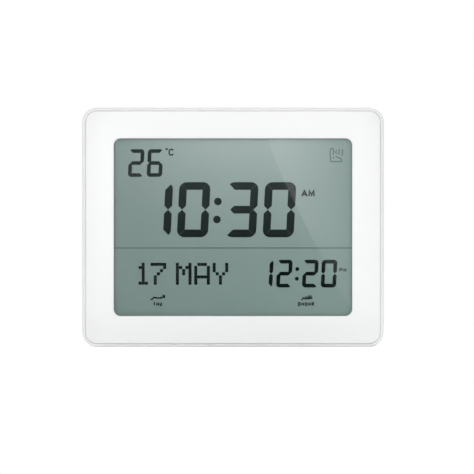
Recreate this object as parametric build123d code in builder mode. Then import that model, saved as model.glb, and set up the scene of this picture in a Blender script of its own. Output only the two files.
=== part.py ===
"""Desk and wall clock with a large LCD: a white front frame, a rear case with a folding stand,
three AA cells behind a tilting door, six push buttons, a speaker, and the display stack on its board.

Row frame: X to the viewer's right, Y from the front to the back, Z up.
The origin is the middle of the face that the clock stands on. All sizes are in millimetres.
"""

import os
from math import asin, cos, degrees, radians, sin, sqrt

from build123d import *

# ---------------------------------------------------------------- driving dimensions
# Window and front frame
window_width = 165.7
window_height = 123.4
window_radius = 4.8
window_bevel = 0.4  # chamfer round the window's front edge
window_ledge = 1.4  # frame material in front of the lens
side_margin = 19.85  # from the window to the frame's outer edge, left and right
top_margin = 19.3  # the same above and below
face_edge_radius = 1.0
crown_start = 2.0  # flat strip round the window before the face falls away
crown_radius = 170.0  # of the face where it falls away
bezel_wall = 2.0
skirt_depth = 6.0  # how far the frame reaches into the rear case

# Rear case
case_wall = 2.2
seam_gap = 0.2  # groove between the frame and the rear case
corner_radius = 10.4
rim_setback = 3.4  # from the face to the rear case's lip
lip_radius = 1.5
back_edge_radius = 3.5
seat_width = 1.4  # inner ring that the frame's skirt stands on
seat_thickness = 1.5

# Display stack, from front to back
lens_overlap = 3.0
lens_thickness = 1.6
lens_edge_chamfer = 0.3
gasket_thickness = 0.5
gasket_inset = 0.8  # from the window's edge, so that the foam stays out of sight
film_thickness = 0.2
film_inset = 1.0
glass_thickness = 1.1
contact_ledge = 3.0  # front glass beyond the rear glass, above and below
guide_thickness = 2.6
lamp_bay = 3.0
board_thickness = 1.6
holder_wall = 2.0
strip_width = 2.2
strip_end_gap = 10.0
glass_radius = 0.8
holder_radius = 2.0
lamp_count = 5
lamp_width = 1.6
lamp_length = 3.2
lamp_height = 1.9

# Parts on the back of the board
board_corner = 2.0
blob_v = -5.0  # of the controller's row of parts over the board's middle
blob_radius = 9.0
blob_height = 1.6
chip_x = 26.0
chip_length = 12.8
chip_width = 7.5
chip_height = 2.3
chip_standoff = 0.2
chip_leads = 10
lead_width = 0.42
lead_reach = 1.4
lead_thickness = 0.3
crystal_x = -18.0
crystal_radius = 1.0
crystal_length = 6.0
small_part_pitch = 4.5
resistor_length = 1.6
resistor_width = 0.8
resistor_height = 0.5
capacitor_length = 3.2
capacitor_width = 1.6
capacitor_height = 1.6
sensor_inset = 6.0  # from the board's left and bottom edges
sensor_radius = 1.0
plug_width = 6.0
plug_height = 4.0
plug_depth = 2.4
wire_radius = 0.5
ribbon_width = 10.0
ribbon_thickness = 0.8
board_wire_run = 6.0  # of a battery wire along the board
ribbon_drop = 9.0  # from the button board's end of the ribbon down to the main board's

# Room behind the board, and the cells
board_clearance = 3.2
tub_floor = 1.4
tub_wall = 1.6
cell_diameter = 14.5
cell_length = 50.5
cell_nub_radius = 2.75
cell_nub_height = 1.2
cell_edge_radius = 0.6
cell_gap = 0.7  # between one cell and the next
cell_count = 3
cradle_height = 3.6
contact_thickness = 0.4
contact_size = 11.0
cradle_width = 4.0
tag_width = 3.0
tag_reach = 0.9  # of a contact's tag past the compartment's floor
spring_turns = 3
spring_length = 5.0
spring_wire = 0.7
spring_base_radius = 4.6
spring_cone_angle = 14.0

# Battery door
door_thickness = 1.8
door_ledge = 1.4
hook_width = 8.0
hook_link = 2.4  # height of the block that ties a hook to the door
hook_spread = 32.0
hook_thickness = 1.1
hook_reach = 2.6
latch_width = 14.0
latch_length = 9.0
latch_slot = 0.8
thumb_radius = 8.0
thumb_depth = 1.2
door_open_angle = 80.0

# Stand
recess_width = 62.0
recess_depth = 6.5
recess_wall = 1.8
hinge_height = 78.0
hinge_inset = 3.2  # from the back face to the stand's pin
pin_radius = 1.25
pin_overhang = 0.6
leg_thickness = 2.4
leg_rib = 1.6
leg_rib_depth = 2.4
leg_radius = 6.0
foot_height = 0.8  # the folded foot's height over the face that the clock stands on
barrel_wall = 1.65
heel_thickness = 1.8
stand_open_angle = 28.0  # where the heel meets the floor of the stand's recess
leg_ribs = 4
leg_cross_ribs = 3
grip_groove = 1.2
grip_grooves = 4
grip_width = 34.0

# Fasteners
case_boss_radius = 3.5
case_boss_inset = 10.3  # boss centres from the case's sides
case_post_radius = 4.5
case_well_radius = 3.3
case_shoulder = 1.8
boss_rib = 1.2
screw_bite = 8.0  # of the case screws in the front frame's bosses
pilot_spare = 1.0
screw_radius = 1.3
screw_head_radius = 2.7
screw_head_height = 1.9
board_screw_radius = 1.0
board_screw_length = 6.0
board_screw_head_radius = 2.0
board_screw_head_height = 1.4
board_post_radius = 2.8
board_post_spread = 60.0
board_pilot_spare = 0.6

# Buttons
button_count = 6
button_pitch = 20.0
button_radius = 5.0
button_height = 118.0  # of the row of buttons over the standing face
button_rise = 1.2  # of the cap over the floor of its panel
button_travel = 0.6
button_flange = 1.2  # how far the flange reaches past the cap
button_flange_thickness = 1.2
button_dish = 0.35
panel_margin = 5.5
panel_depth = 1.4
panel_floor = 2.0
switch_size = 6.0
switch_height = 3.5
plunger_radius = 1.7
plunger_rise = 1.0
plunger_depth = 1.8

# Speaker
speaker_radius = 25.0
speaker_rim = 3.2
speaker_flange = 1.2
speaker_gasket_thickness = 1.0
speaker_depth = 6.0  # of the basket behind the flange
speaker_sheet = 0.7
magnet_radius = 15.0
magnet_thickness = 4.6
backplate_radius = 13.0
backplate_thickness = 1.5
cone_sheet = 0.4
dust_cap_radius = 7.0
dust_cap_rise = 2.0
speaker_rib = 1.6
speaker_clip_count = 3
grille_slots = 9
grille_slot_width = 2.2
grille_pitch = 4.4
grille_radius = 20.5
terminal_width = 8.0
terminal_height = 1.6
terminal_thickness = 1.0
cone_rise = 3.4  # of the cone's rim over its middle
washer_thickness = 0.5
washer_overlap = 1.4
speaker_screw_length = 5.0

# Wall hanging
keyhole_height = 148.0
keyhole_radius = 4.5
keyhole_neck_radius = 2.2
keyhole_travel = 8.0
keyhole_pocket_depth = 6.8
keyhole_pocket_wall = 1.4

# Clearances
fit = 0.2  # between pieces that drop into each other
slide_fit = 0.15  # round a button or a plunger
running_fit = 0.05  # radial, between the stand's barrel and its pin
press_fit = 0.02  # radial, round the pin in the case and a screw in its pilot hole
stop_gap = 0.08
door_gap = 0.25
cap_gap = 0.05  # radial, round the speaker's dust cap

# ---------------------------------------------------------------- places worked out from them
face_width = window_width + 2 * side_margin
face_height = window_height + 2 * top_margin
rim_width = case_wall + seam_gap
face_radius = corner_radius - rim_width
case_width = face_width + 2 * rim_width
case_height = face_height + 2 * rim_width
mid_z = case_height / 2

lens_width = window_width + 2 * lens_overlap
lens_height = window_height + 2 * lens_overlap
lens_radius = window_radius + lens_overlap
glass_width = lens_width
rear_glass_height = lens_height
front_glass_height = rear_glass_height + 2 * contact_ledge
holder_width = glass_width + 2 * (fit + holder_wall)
holder_height = front_glass_height + 2 * (fit + holder_wall)

# Depths of the layers, each measured along Y from the middle of the case
display_depth = window_ledge + lens_thickness + gasket_thickness + 3 * film_thickness
display_depth += 2 * glass_thickness + guide_thickness + board_thickness
battery_depth = tub_floor + cell_diameter + 2 * fit + door_thickness
case_depth = display_depth + board_clearance + battery_depth

y_front = -case_depth / 2
y_lens = y_front + window_ledge
y_gasket = y_lens + lens_thickness
y_front_film = y_gasket + gasket_thickness
y_front_glass = y_front_film + film_thickness
y_rear_glass = y_front_glass + glass_thickness
y_rear_film = y_rear_glass + glass_thickness
y_guide = y_rear_film + film_thickness
y_back_sheet = y_guide + guide_thickness
y_board = y_back_sheet + film_thickness
y_board_back = y_board + board_thickness
y_tub = y_board_back + board_clearance
y_cell_axis = y_tub + tub_floor + fit + cell_diameter / 2
y_back = case_depth / 2
y_door = y_back - door_thickness
y_inner_back = y_back - case_wall
y_lip = y_front + rim_setback
y_seat = y_lip + skirt_depth
y_join = y_tub + tub_floor  # where the frame's bosses meet the rear case's posts

boss_x = case_width / 2 - case_boss_inset
boss_v = case_height / 2 - case_boss_inset
board_post_v = holder_height / 2 + fit + board_post_radius
board_post_places = [
    (x, side * board_post_v)
    for x in (-board_post_spread, 0, board_post_spread)
    for side in (1, -1)
]
board_width = holder_width
board_height = 2 * (board_post_v + board_post_radius)
resistor_v = blob_v + blob_radius + 2 * resistor_width
sensor_x = sensor_inset - board_width / 2
sensor_v = sensor_inset - board_height / 2

# Stand, seen from the side
y_hinge = y_back - hinge_inset
y_recess = y_back - recess_depth
barrel_radius = pin_radius + barrel_wall
barrel_bore = pin_radius + running_fit
y_leg = y_hinge + barrel_radius - leg_thickness
half_heel = heel_thickness / 2
open_angle = radians(stand_open_angle)
heel_length = recess_depth - hinge_inset - stop_gap - half_heel * cos(open_angle)
heel_length = heel_length / sin(open_angle)
recess_top = hinge_height + heel_length + 2 * fit
leg_width = recess_width - 2 * fit - 2 * stop_gap

# Battery compartment, midway between the stand's recess and the case's side
side_x = (recess_width / 2 + recess_wall + case_width / 2 - case_wall) / 2
cell_pitch = cell_diameter + cell_gap
tub_width = cell_length + spring_length + 2 * contact_thickness
tub_height = cell_count * cell_pitch + 2 * fit
tub_x = side_x
tub_z = hinge_height - barrel_radius - tub_height / 2
door_width = tub_width + 2 * door_ledge
door_height = tub_height + 2 * door_ledge
door_radius = 2.0
door_bottom = tub_z - door_height / 2
door_axis_y = y_back - door_thickness / 2
door_axis_z = door_bottom + door_thickness / 2

tub_bottom = tub_z - tub_height / 2
door_top = tub_z + door_height / 2
notch_bottom = door_bottom - door_gap
y_hook = y_inner_back - fit - hook_thickness
hook_tip = door_bottom - hook_reach
hook_sweep = sqrt((door_axis_y - y_hook) ** 2 + (door_axis_z - hook_tip) ** 2)
y_notch = door_axis_y - hook_sweep - fit
cell_zs = [tub_z + (1 - i) * cell_pitch for i in range(cell_count)]
tub_left = tub_x - tub_width / 2
tub_right = tub_x + tub_width / 2
tag_places = [
    (tub_left + contact_thickness / 2, cell_zs[0]),
    (tub_right - contact_thickness / 2, cell_zs[2]),
]
y_tag = y_tub - tag_reach

# Speaker, on the stand's other side
clip_ring = speaker_radius + fit + case_boss_radius
speaker_x = -side_x
speaker_z = tub_z
y_flange_back = y_inner_back - speaker_gasket_thickness
y_flange_front = y_flange_back - speaker_flange
y_basket = y_flange_front - speaker_depth
y_magnet = y_basket - magnet_thickness
y_backplate = y_magnet - backplate_thickness
speaker_clip_places = [
    (speaker_x + clip_ring * cos(radians(a)), speaker_z - mid_z + clip_ring * sin(radians(a)))
    for a in (30, 150, 270)
]
terminal_z = speaker_z + speaker_radius - terminal_height / 2
speaker_plug_x = speaker_x + terminal_width

# Buttons, above the stand
y_panel = y_back - panel_depth
y_pad = y_panel - panel_floor
y_flange = y_pad - stop_gap
y_plunger = y_flange - button_flange_thickness
y_switch = y_plunger - plunger_rise
y_key_board = y_switch - switch_height
key_board_width = button_count * button_pitch + 2 * board_post_radius
key_board_height = 2 * button_radius + 2 * button_flange + 2 * holder_wall
button_xs = [(i - (button_count - 1) / 2) * button_pitch for i in range(button_count)]
button_names = ["light", "alarm", "up", "down", "azan", "set"]
key_post_xs = [-button_count / 2 * button_pitch, 0, button_count / 2 * button_pitch]
key_post_radius = 2.4
key_post_places = [(x, button_height - mid_z) for x in key_post_xs]
panel_width = (button_count - 1) * button_pitch + 2 * (button_radius + panel_margin)
panel_height = 2 * (button_radius + panel_margin)
ribbon_z = button_height - key_board_height / 2 + ribbon_thickness
ribbon_plug_z = ribbon_z - ribbon_drop

# Keyhole
y_pocket = y_back - keyhole_pocket_depth
pocket_width = 2 * (keyhole_radius + keyhole_pocket_wall)
pocket_height = pocket_width + keyhole_travel

# Stand's pin
pin_length = recess_width + 2 * (recess_wall + pin_overhang)


def layer(y):
    """Sketch plane at depth y, centred on the case and facing the viewer, so that
    extruding by a negative amount goes towards the back."""
    return Plane(origin=(0, y, mid_z), x_dir=(1, 0, 0), z_dir=(0, -1, 0))


def across(x):
    """Sketch plane at x that looks along +X: its own x runs along Y and its y along Z."""
    return Plane(origin=(x, 0, 0), x_dir=(0, 1, 0), z_dir=(1, 0, 0))


def at(x, z):
    """Location of a point given by its height z, on a layer plane."""
    return Locations((x, z - mid_z))


def corners(x, v):
    """The four points of a rectangle round the case's centre."""
    return Locations((x, v), (-x, v), (-x, -v), (x, -v))


def door_outline(gap=0.0):
    """The battery door's outline, grown by a gap all round. Its lower corners stay square, since
    the door tilts about that edge."""
    half_height = door_height / 2 + gap
    with at(tub_x, tub_z):
        RectangleRounded(door_width + 2 * gap, 2 * half_height, door_radius)
    with at(tub_x, tub_z - half_height / 2):
        Rectangle(door_width + 2 * gap, half_height)


def panel(y, thickness, width, height, radius, eased=0.0):
    """A flat plate with rounded corners, centred on the case, with its front at depth y. Where
    eased is given, the front edge is chamfered by it."""
    with BuildPart() as plate:
        with BuildSketch(layer(y)):
            RectangleRounded(width, height, radius)
        extrude(amount=-thickness)
        if eased:
            chamfer(plate.faces().sort_by(Axis.Y)[0].edges(), eased)
    return plate


# ---------------------------------------------------------------- front frame
with BuildSketch(layer(y_front)) as crown_path:
    RectangleRounded(
        window_width + 2 * (window_bevel + crown_start),
        window_height + 2 * (window_bevel + crown_start),
        window_radius + window_bevel + crown_start,
    )
crown_wire = crown_path.sketch.face().outer_wire()
crown_tangent = crown_wire % 0
crown_reach = side_margin * 1.5  # past the frame's corners
crown_sweep = degrees(asin(crown_reach / crown_radius))

with BuildPart() as front_frame:
    with BuildSketch(layer(y_front)):
        RectangleRounded(face_width, face_height, face_radius)
    extrude(amount=-(y_seat - y_front))
    # Hollow behind the face, with the skirt left standing
    with BuildSketch(layer(y_gasket)):
        RectangleRounded(
            face_width - 2 * bezel_wall, face_height - 2 * bezel_wall, face_radius - bezel_wall
        )
    extrude(amount=-(y_seat - y_gasket), mode=Mode.SUBTRACT)
    # Window, its bevel, and the rebate that takes the lens from behind
    with BuildSketch(layer(y_front)):
        RectangleRounded(window_width, window_height, window_radius)
    extrude(amount=-(y_gasket - y_front), mode=Mode.SUBTRACT)
    face_front = front_frame.faces().sort_by(Axis.Y)[0]
    chamfer(face_front.inner_wires()[0].edges(), window_bevel)
    with BuildSketch(layer(y_lens)):
        RectangleRounded(lens_width + 2 * fit, lens_height + 2 * fit, lens_radius + fit)
    extrude(amount=-lens_thickness, mode=Mode.SUBTRACT)
    # The face falls away from the window towards the frame's edge
    with BuildSketch(
        Plane(
            origin=crown_wire @ 0,
            x_dir=crown_tangent.cross(Vector(0, -1, 0)),
            z_dir=crown_tangent,
        )
    ):
        with BuildLine():
            fall = CenterArc((0, crown_radius), crown_radius, -90, crown_sweep)
            Polyline(fall @ 1, (crown_reach, -1), (0, -1), (0, 0))
        make_face()
    sweep(path=crown_wire, mode=Mode.SUBTRACT)
    rim_edges = front_frame.edges().filter_by(
        lambda edge: edge.center().Y < y_lens + face_edge_radius
        and (
            abs(edge.center().X) > face_width / 2 - face_radius
            or abs(edge.center().Z - mid_z) > face_height / 2 - face_radius
        )
    )
    fillet(rim_edges, face_edge_radius)
    # Corner bosses for the case screws, tied to the skirt by ribs
    with BuildSketch(layer(y_gasket)):
        with corners(boss_x, boss_v):
            Circle(case_boss_radius)
        for side in (1, -1):
            with Locations(*[(side * (boss_x + case_boss_inset / 2), v) for v in (boss_v, -boss_v)]):
                Rectangle(case_boss_inset - 2 * rim_width, boss_rib)
            with Locations(*[(x, side * (boss_v + case_boss_inset / 2)) for x in (boss_x, -boss_x)]):
                Rectangle(boss_rib, case_boss_inset - 2 * rim_width)
    extrude(amount=-(y_seat - y_gasket))
    with BuildSketch(layer(y_seat)):
        with corners(boss_x, boss_v):
            Circle(case_boss_radius)
    extrude(amount=-(y_join - y_seat))
    with BuildSketch(layer(y_join)):
        with corners(boss_x, boss_v):
            Circle(screw_radius + press_fit)
    extrude(amount=screw_bite + pilot_spare, mode=Mode.SUBTRACT)
    # Posts that carry the board, and side ribs that keep the display holder in place
    with BuildSketch(layer(y_gasket)):
        with Locations(*board_post_places):
            Circle(board_post_radius)
        with corners(holder_width / 2 + fit + holder_wall / 2, holder_height / 4):
            Rectangle(holder_wall, 3 * holder_wall)
    extrude(amount=-(y_board - y_gasket))
    with BuildSketch(layer(y_board)):
        with Locations(*board_post_places):
            Circle(board_screw_radius + press_fit)
    extrude(amount=board_screw_length - board_thickness + board_pilot_spare, mode=Mode.SUBTRACT)

# ---------------------------------------------------------------- display stack
window_lens = panel(y_lens, lens_thickness, lens_width, lens_height, lens_radius, lens_edge_chamfer)

with BuildPart() as display_gasket:
    with BuildSketch(layer(y_gasket)):
        RectangleRounded(lens_width - 2 * film_inset, lens_height - 2 * film_inset, window_radius)
        RectangleRounded(
            window_width + 2 * gasket_inset,
            window_height + 2 * gasket_inset,
            window_radius,
            mode=Mode.SUBTRACT,
        )
    extrude(amount=-gasket_thickness)

front_polariser = panel(
    y_front_film,
    film_thickness,
    glass_width - 2 * film_inset,
    front_glass_height - 2 * film_inset,
    glass_radius,
)
front_glass = panel(y_front_glass, glass_thickness, glass_width, front_glass_height, glass_radius)
rear_glass = panel(y_rear_glass, glass_thickness, glass_width, rear_glass_height, glass_radius)
rear_polariser = panel(
    y_rear_film,
    film_thickness,
    glass_width - 2 * film_inset,
    rear_glass_height - 2 * film_inset,
    glass_radius,
)


def guide_layer(y, thickness):
    """A plate under the rear glass that leaves the lamp bay free on the right."""
    with BuildPart() as plate:
        with BuildSketch(layer(y)):
            with Locations((-lamp_bay / 2, 0)):
                RectangleRounded(glass_width - lamp_bay, rear_glass_height, glass_radius)
        extrude(amount=-thickness)
    return plate


light_guide = guide_layer(y_guide, guide_thickness)
reflector_sheet = guide_layer(y_back_sheet, film_thickness)

with BuildPart() as backlight_lamps:
    with BuildSketch(layer(y_board - lamp_height)):
        with Locations((glass_width / 2 - lamp_bay / 2, 0)):
            with GridLocations(1, rear_glass_height / lamp_count, 1, lamp_count):
                Rectangle(lamp_width, lamp_length)
    extrude(amount=-lamp_height)

with BuildPart() as display_holder:
    with BuildSketch(layer(y_gasket)):
        RectangleRounded(holder_width, holder_height, holder_radius)
        RectangleRounded(
            glass_width + 2 * fit, front_glass_height + 2 * fit, glass_radius, mode=Mode.SUBTRACT
        )
    extrude(amount=-(y_board - y_gasket))
    chamfer(display_holder.faces().sort_by(Axis.Y)[0].outer_wire().edges(), lens_edge_chamfer)


def contact_strip(side):
    """Rubber strip that joins the front glass's ledge to the board; side is 1 above, -1 below."""
    with BuildPart() as strip:
        with BuildSketch(layer(y_rear_glass)):
            with Locations((0, side * (rear_glass_height + contact_ledge) / 2)):
                Rectangle(glass_width - 2 * strip_end_gap, strip_width)
        extrude(amount=-(y_board - y_rear_glass))
    return strip


contact_strip_top = contact_strip(1)
contact_strip_bottom = contact_strip(-1)

# ---------------------------------------------------------------- main board and its parts
with BuildPart() as main_board:
    with BuildSketch(layer(y_board)):
        RectangleRounded(board_width, board_height, board_corner)
        with Locations(*board_post_places):
            Circle(board_screw_radius + slide_fit, mode=Mode.SUBTRACT)
    extrude(amount=-board_thickness)


def round_screws(y_head, direction, length, radius, head_radius, head_height, places):
    """Cross-head screws whose heads sit on depth y_head; direction is 1 where the head is on the
    back of what it holds and the shank runs to the front."""
    with BuildPart() as screws:
        with BuildSketch(layer(y_head)):
            with Locations(*places):
                Circle(head_radius)
        extrude(amount=-direction * head_height)
        crowns = screws.faces().filter_by(Axis.Y).group_by(Axis.Y)[-1 if direction > 0 else 0]
        fillet(crowns.edges(), head_height / 3)
        with BuildSketch(layer(y_head + direction * head_height)):
            with Locations(*places):
                Rectangle(head_radius * 1.2, head_radius * 0.3)
                Rectangle(head_radius * 0.3, head_radius * 1.2)
        extrude(amount=direction * head_height * 0.6, mode=Mode.SUBTRACT)
        with BuildSketch(layer(y_head)):
            with Locations(*places):
                Circle(radius)
        extrude(amount=direction * length)
        tips = screws.faces().filter_by(Axis.Y).group_by(Axis.Y)[0 if direction > 0 else -1]
        chamfer(tips.edges(), radius / 2)
    return screws


board_screws = round_screws(
    y_board_back,
    1,
    board_screw_length,
    board_screw_radius,
    board_screw_head_radius,
    board_screw_head_height,
    board_post_places,
)

with BuildPart() as controller_blob:
    with BuildSketch(layer(y_board_back)):
        with Locations((0, blob_v)):
            Circle(blob_radius)
    extrude(amount=-blob_height)
    fillet(controller_blob.faces().sort_by(Axis.Y)[-1].edges(), blob_height * 0.9)

with BuildPart() as sound_chip:
    with BuildSketch(layer(y_board_back + chip_standoff)):
        with Locations((chip_x, blob_v)):
            Rectangle(chip_length, chip_width)
    extrude(amount=-chip_height)
    chamfer(sound_chip.faces().sort_by(Axis.Y)[-1].edges(), chip_standoff)

with BuildPart() as sound_chip_leads:
    for side in (1, -1):
        with BuildSketch(layer(y_board_back)):
            with Locations((chip_x, blob_v + side * (chip_width / 2 + lead_reach / 2))):
                with GridLocations(chip_length / chip_leads, 1, chip_leads, 1):
                    Rectangle(lead_width, lead_reach)
        extrude(amount=-lead_thickness)
        with BuildSketch(layer(y_board_back)):
            with Locations((chip_x, blob_v + side * (chip_width / 2 + lead_thickness / 2))):
                with GridLocations(chip_length / chip_leads, 1, chip_leads, 1):
                    Rectangle(lead_width, lead_thickness)
        extrude(amount=-(chip_standoff + chip_height / 2))

with BuildPart() as clock_crystal:
    with BuildSketch(
        Plane(
            origin=(crystal_x, y_board_back + crystal_radius, mid_z + blob_v),
            x_dir=(1, 0, 0),
            z_dir=(0, 0, 1),
        )
    ):
        Circle(crystal_radius)
    extrude(amount=crystal_length)
    fillet(clock_crystal.faces().sort_by(Axis.Z)[-1].edges(), crystal_radius / 3)


def board_chips(places, length, width, height):
    """Small flat parts on the back of the board."""
    with BuildPart() as chips:
        with BuildSketch(layer(y_board_back)):
            with Locations(*places):
                Rectangle(length, width)
        extrude(amount=-height)
    return chips


board_resistors = board_chips(
    [
        (column * small_part_pitch, resistor_v + row * small_part_pitch)
        for column in (-5, -4, -3, 3, 4, 5)
        for row in (0, 1)
    ],
    resistor_length,
    resistor_width,
    resistor_height,
)
board_capacitors = board_chips(
    [
        (column * small_part_pitch, blob_v + row * small_part_pitch)
        for column in (-3, 3)
        for row in (-1, 1)
    ],
    capacitor_length,
    capacitor_width,
    capacitor_height,
)

with BuildPart() as temperature_sensor:
    with BuildSketch(layer(y_board_back)):
        with Locations((sensor_x, sensor_v), (sensor_x + 2 * sensor_radius, sensor_v)):
            Circle(lead_width / 2)
    extrude(amount=-sensor_radius)
    with Locations((sensor_x + sensor_radius, y_board_back + 2 * sensor_radius, mid_z + sensor_v)):
        Sphere(sensor_radius * 1.3)

# Plug housings where the speaker's wires and the ribbon from the buttons meet the board
with BuildPart() as board_connectors:
    with BuildSketch(layer(y_board_back)):
        with at(speaker_plug_x, terminal_z):
            Rectangle(plug_width, plug_height)
        with at(0, ribbon_plug_z):
            Rectangle(ribbon_width + 2 * slide_fit + 2.0, plug_height)
    extrude(amount=-plug_depth)

# ---------------------------------------------------------------- rear case
with BuildPart() as case_cavity:
    with BuildSketch(layer(y_lip)):
        RectangleRounded(case_width - 2 * case_wall, case_height - 2 * case_wall, corner_radius - case_wall)
    extrude(amount=-(y_inner_back - y_lip))
    fillet(case_cavity.faces().sort_by(Axis.Y)[-1].edges(), back_edge_radius - case_wall)

with BuildPart() as rear_case:
    with BuildSketch(layer(y_lip)):
        RectangleRounded(case_width, case_height, corner_radius)
    extrude(amount=-(y_back - y_lip))
    fillet(rear_case.faces().sort_by(Axis.Y)[-1].edges(), back_edge_radius)
    fillet(rear_case.faces().sort_by(Axis.Y)[0].edges(), lip_radius)
    add(case_cavity.part, mode=Mode.SUBTRACT)
    # Ring that the front frame's skirt stands on
    with BuildSketch(layer(y_seat)):
        RectangleRounded(
            case_width - case_wall, case_height - case_wall, corner_radius - case_wall / 2
        )
        RectangleRounded(
            face_width - 2 * seat_width,
            face_height - 2 * seat_width,
            face_radius - seat_width,
            mode=Mode.SUBTRACT,
        )
    extrude(amount=-seat_thickness)
    # Posts under the front frame's bosses, with wells for the screws
    with BuildSketch(layer(y_join)):
        with corners(boss_x, boss_v):
            Circle(case_post_radius)
    extrude(amount=-(y_inner_back - y_join))
    # Walls of the stand's recess, the battery compartment and the keyhole's pocket
    with BuildSketch(layer(y_recess - recess_wall)):
        with at(0, (recess_top + recess_wall) / 2):
            Rectangle(recess_width + 2 * recess_wall, recess_top + recess_wall - case_wall)
    extrude(amount=-(y_inner_back - y_recess + recess_wall))
    with BuildSketch(layer(y_tub)):
        with at(tub_x, tub_z):
            Rectangle(tub_width + 2 * tub_wall, tub_height + 2 * tub_wall)
    extrude(amount=-(y_inner_back - y_tub))
    with BuildSketch(layer(y_pocket - keyhole_pocket_wall)):
        with at(0, keyhole_height + keyhole_travel / 2):
            Rectangle(pocket_width + 2 * keyhole_pocket_wall, pocket_height + 2 * keyhole_pocket_wall)
    extrude(amount=-(y_inner_back - y_pocket + keyhole_pocket_wall))
    # Thicker pad behind the buttons, and the posts that carry their board
    with BuildSketch(layer(y_pad)):
        with at(0, button_height):
            RectangleRounded(panel_width + panel_margin, panel_height + panel_margin, button_radius)
    extrude(amount=-(y_inner_back - y_pad))
    with BuildSketch(layer(y_key_board)):
        with Locations(*key_post_places):
            Circle(key_post_radius)
    extrude(amount=-(y_inner_back - y_key_board))
    with BuildSketch(layer(y_key_board)):
        with Locations(*key_post_places):
            Circle(board_screw_radius + press_fit)
    extrude(amount=-(board_screw_length - board_thickness + board_pilot_spare), mode=Mode.SUBTRACT)
    # Ring and posts round the speaker
    with BuildSketch(layer(y_flange_front)):
        with at(speaker_x, speaker_z):
            Circle(speaker_radius + fit + speaker_rib)
            Circle(speaker_radius + fit, mode=Mode.SUBTRACT)
        with Locations(*speaker_clip_places):
            Circle(case_boss_radius)
    extrude(amount=-(y_inner_back - y_flange_front))
    with BuildSketch(layer(y_flange_front)):
        with Locations(*speaker_clip_places):
            Circle(screw_radius + press_fit)
    extrude(amount=-(y_back - case_wall / 2 - y_flange_front), mode=Mode.SUBTRACT)
    with BuildSketch(layer(y_inner_back)):
        with at(speaker_x, speaker_z):
            for row in range(grille_slots):
                v = (row - (grille_slots - 1) / 2) * grille_pitch
                with Locations((0, v)):
                    SlotOverall(2 * sqrt(grille_radius**2 - v**2), grille_slot_width)
    extrude(amount=-case_wall, mode=Mode.SUBTRACT)
    # Screw wells
    with BuildSketch(layer(y_join)):
        with corners(boss_x, boss_v):
            Circle(screw_radius + fit)
    extrude(amount=-case_shoulder, mode=Mode.SUBTRACT)
    with BuildSketch(layer(y_join + case_shoulder)):
        with corners(boss_x, boss_v):
            Circle(case_well_radius)
    extrude(amount=-(y_back - y_join - case_shoulder), mode=Mode.SUBTRACT)
    # Stand's recess, open at the bottom, and the holes for its pin
    with BuildSketch(layer(y_recess)):
        with at(0, (recess_top - case_wall) / 2):
            Rectangle(recess_width, recess_top + case_wall)
    extrude(amount=-(y_back - y_recess), mode=Mode.SUBTRACT)
    with BuildSketch(across(-recess_width)):
        with Locations((y_hinge, hinge_height)):
            Circle(pin_radius + press_fit)
    extrude(amount=2 * recess_width, mode=Mode.SUBTRACT)
    # Keyhole over its closed pocket
    with BuildSketch(layer(y_pocket)):
        with at(0, keyhole_height + keyhole_travel / 2):
            Rectangle(pocket_width, pocket_height)
    extrude(amount=-(y_inner_back - y_pocket), mode=Mode.SUBTRACT)
    with BuildSketch(layer(y_inner_back)):
        with at(0, keyhole_height):
            Circle(keyhole_radius)
        with at(0, keyhole_height + keyhole_travel / 2):
            SlotOverall(keyhole_travel + 2 * keyhole_neck_radius, 2 * keyhole_neck_radius, rotation=90)
    extrude(amount=-case_wall, mode=Mode.SUBTRACT)
    # Button panel
    with BuildSketch(layer(y_panel)):
        with at(0, button_height):
            RectangleRounded(panel_width, panel_height, button_radius)
    extrude(amount=-panel_depth, mode=Mode.SUBTRACT)
    with BuildSketch(layer(y_pad)):
        with at(0, button_height):
            with GridLocations(button_pitch, 1, button_count, 1):
                Circle(button_radius + slide_fit)
    extrude(amount=-panel_floor, mode=Mode.SUBTRACT)
    # Battery compartment: cells lie in troughs, the door drops onto the compartment's walls
    with BuildSketch(layer(y_join)):
        with at(tub_x, tub_z):
            Rectangle(tub_width, tub_height)
    extrude(amount=-(y_back - y_join), mode=Mode.SUBTRACT)
    with BuildSketch(layer(y_join)):
        with at(tub_x, tub_z):
            with GridLocations(cell_length / 2, 1, 2, 1):
                Rectangle(cradle_width, tub_height)
    extrude(amount=-cradle_height)
    with BuildSketch(across(tub_x - tub_width / 2)):
        with Locations(*[(y_cell_axis, z) for z in cell_zs]):
            Circle(cell_diameter / 2 + fit)
    extrude(amount=tub_width, mode=Mode.SUBTRACT)
    with BuildSketch(layer(y_door)):
        door_outline(door_gap)
    extrude(amount=-door_thickness, mode=Mode.SUBTRACT)
    with BuildSketch(layer(y_door - fit)):
        with at(tub_x, tub_bottom - (door_ledge + door_gap) / 2):
            Rectangle(door_width + 2 * door_gap, door_ledge + door_gap)
    extrude(amount=-door_thickness, mode=Mode.SUBTRACT)
    # Notches that the door's hooks reach through, and swing in
    with BuildSketch(layer(y_notch)):
        with at(tub_x, (tub_bottom + notch_bottom) / 2):
            with GridLocations(hook_spread, 1, 2, 1):
                Rectangle(hook_width + 4 * fit, tub_bottom - notch_bottom)
    extrude(amount=-(y_back - y_notch), mode=Mode.SUBTRACT)
    # Slots in the compartment's floor for the contacts' tags
    with BuildSketch(layer(y_tub)):
        with Locations(*[(x, z - mid_z) for x, z in tag_places]):
            Rectangle(contact_thickness + 2 * slide_fit, tag_width + 2 * slide_fit)
    extrude(amount=-(tub_floor + cradle_height), mode=Mode.SUBTRACT)
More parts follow.
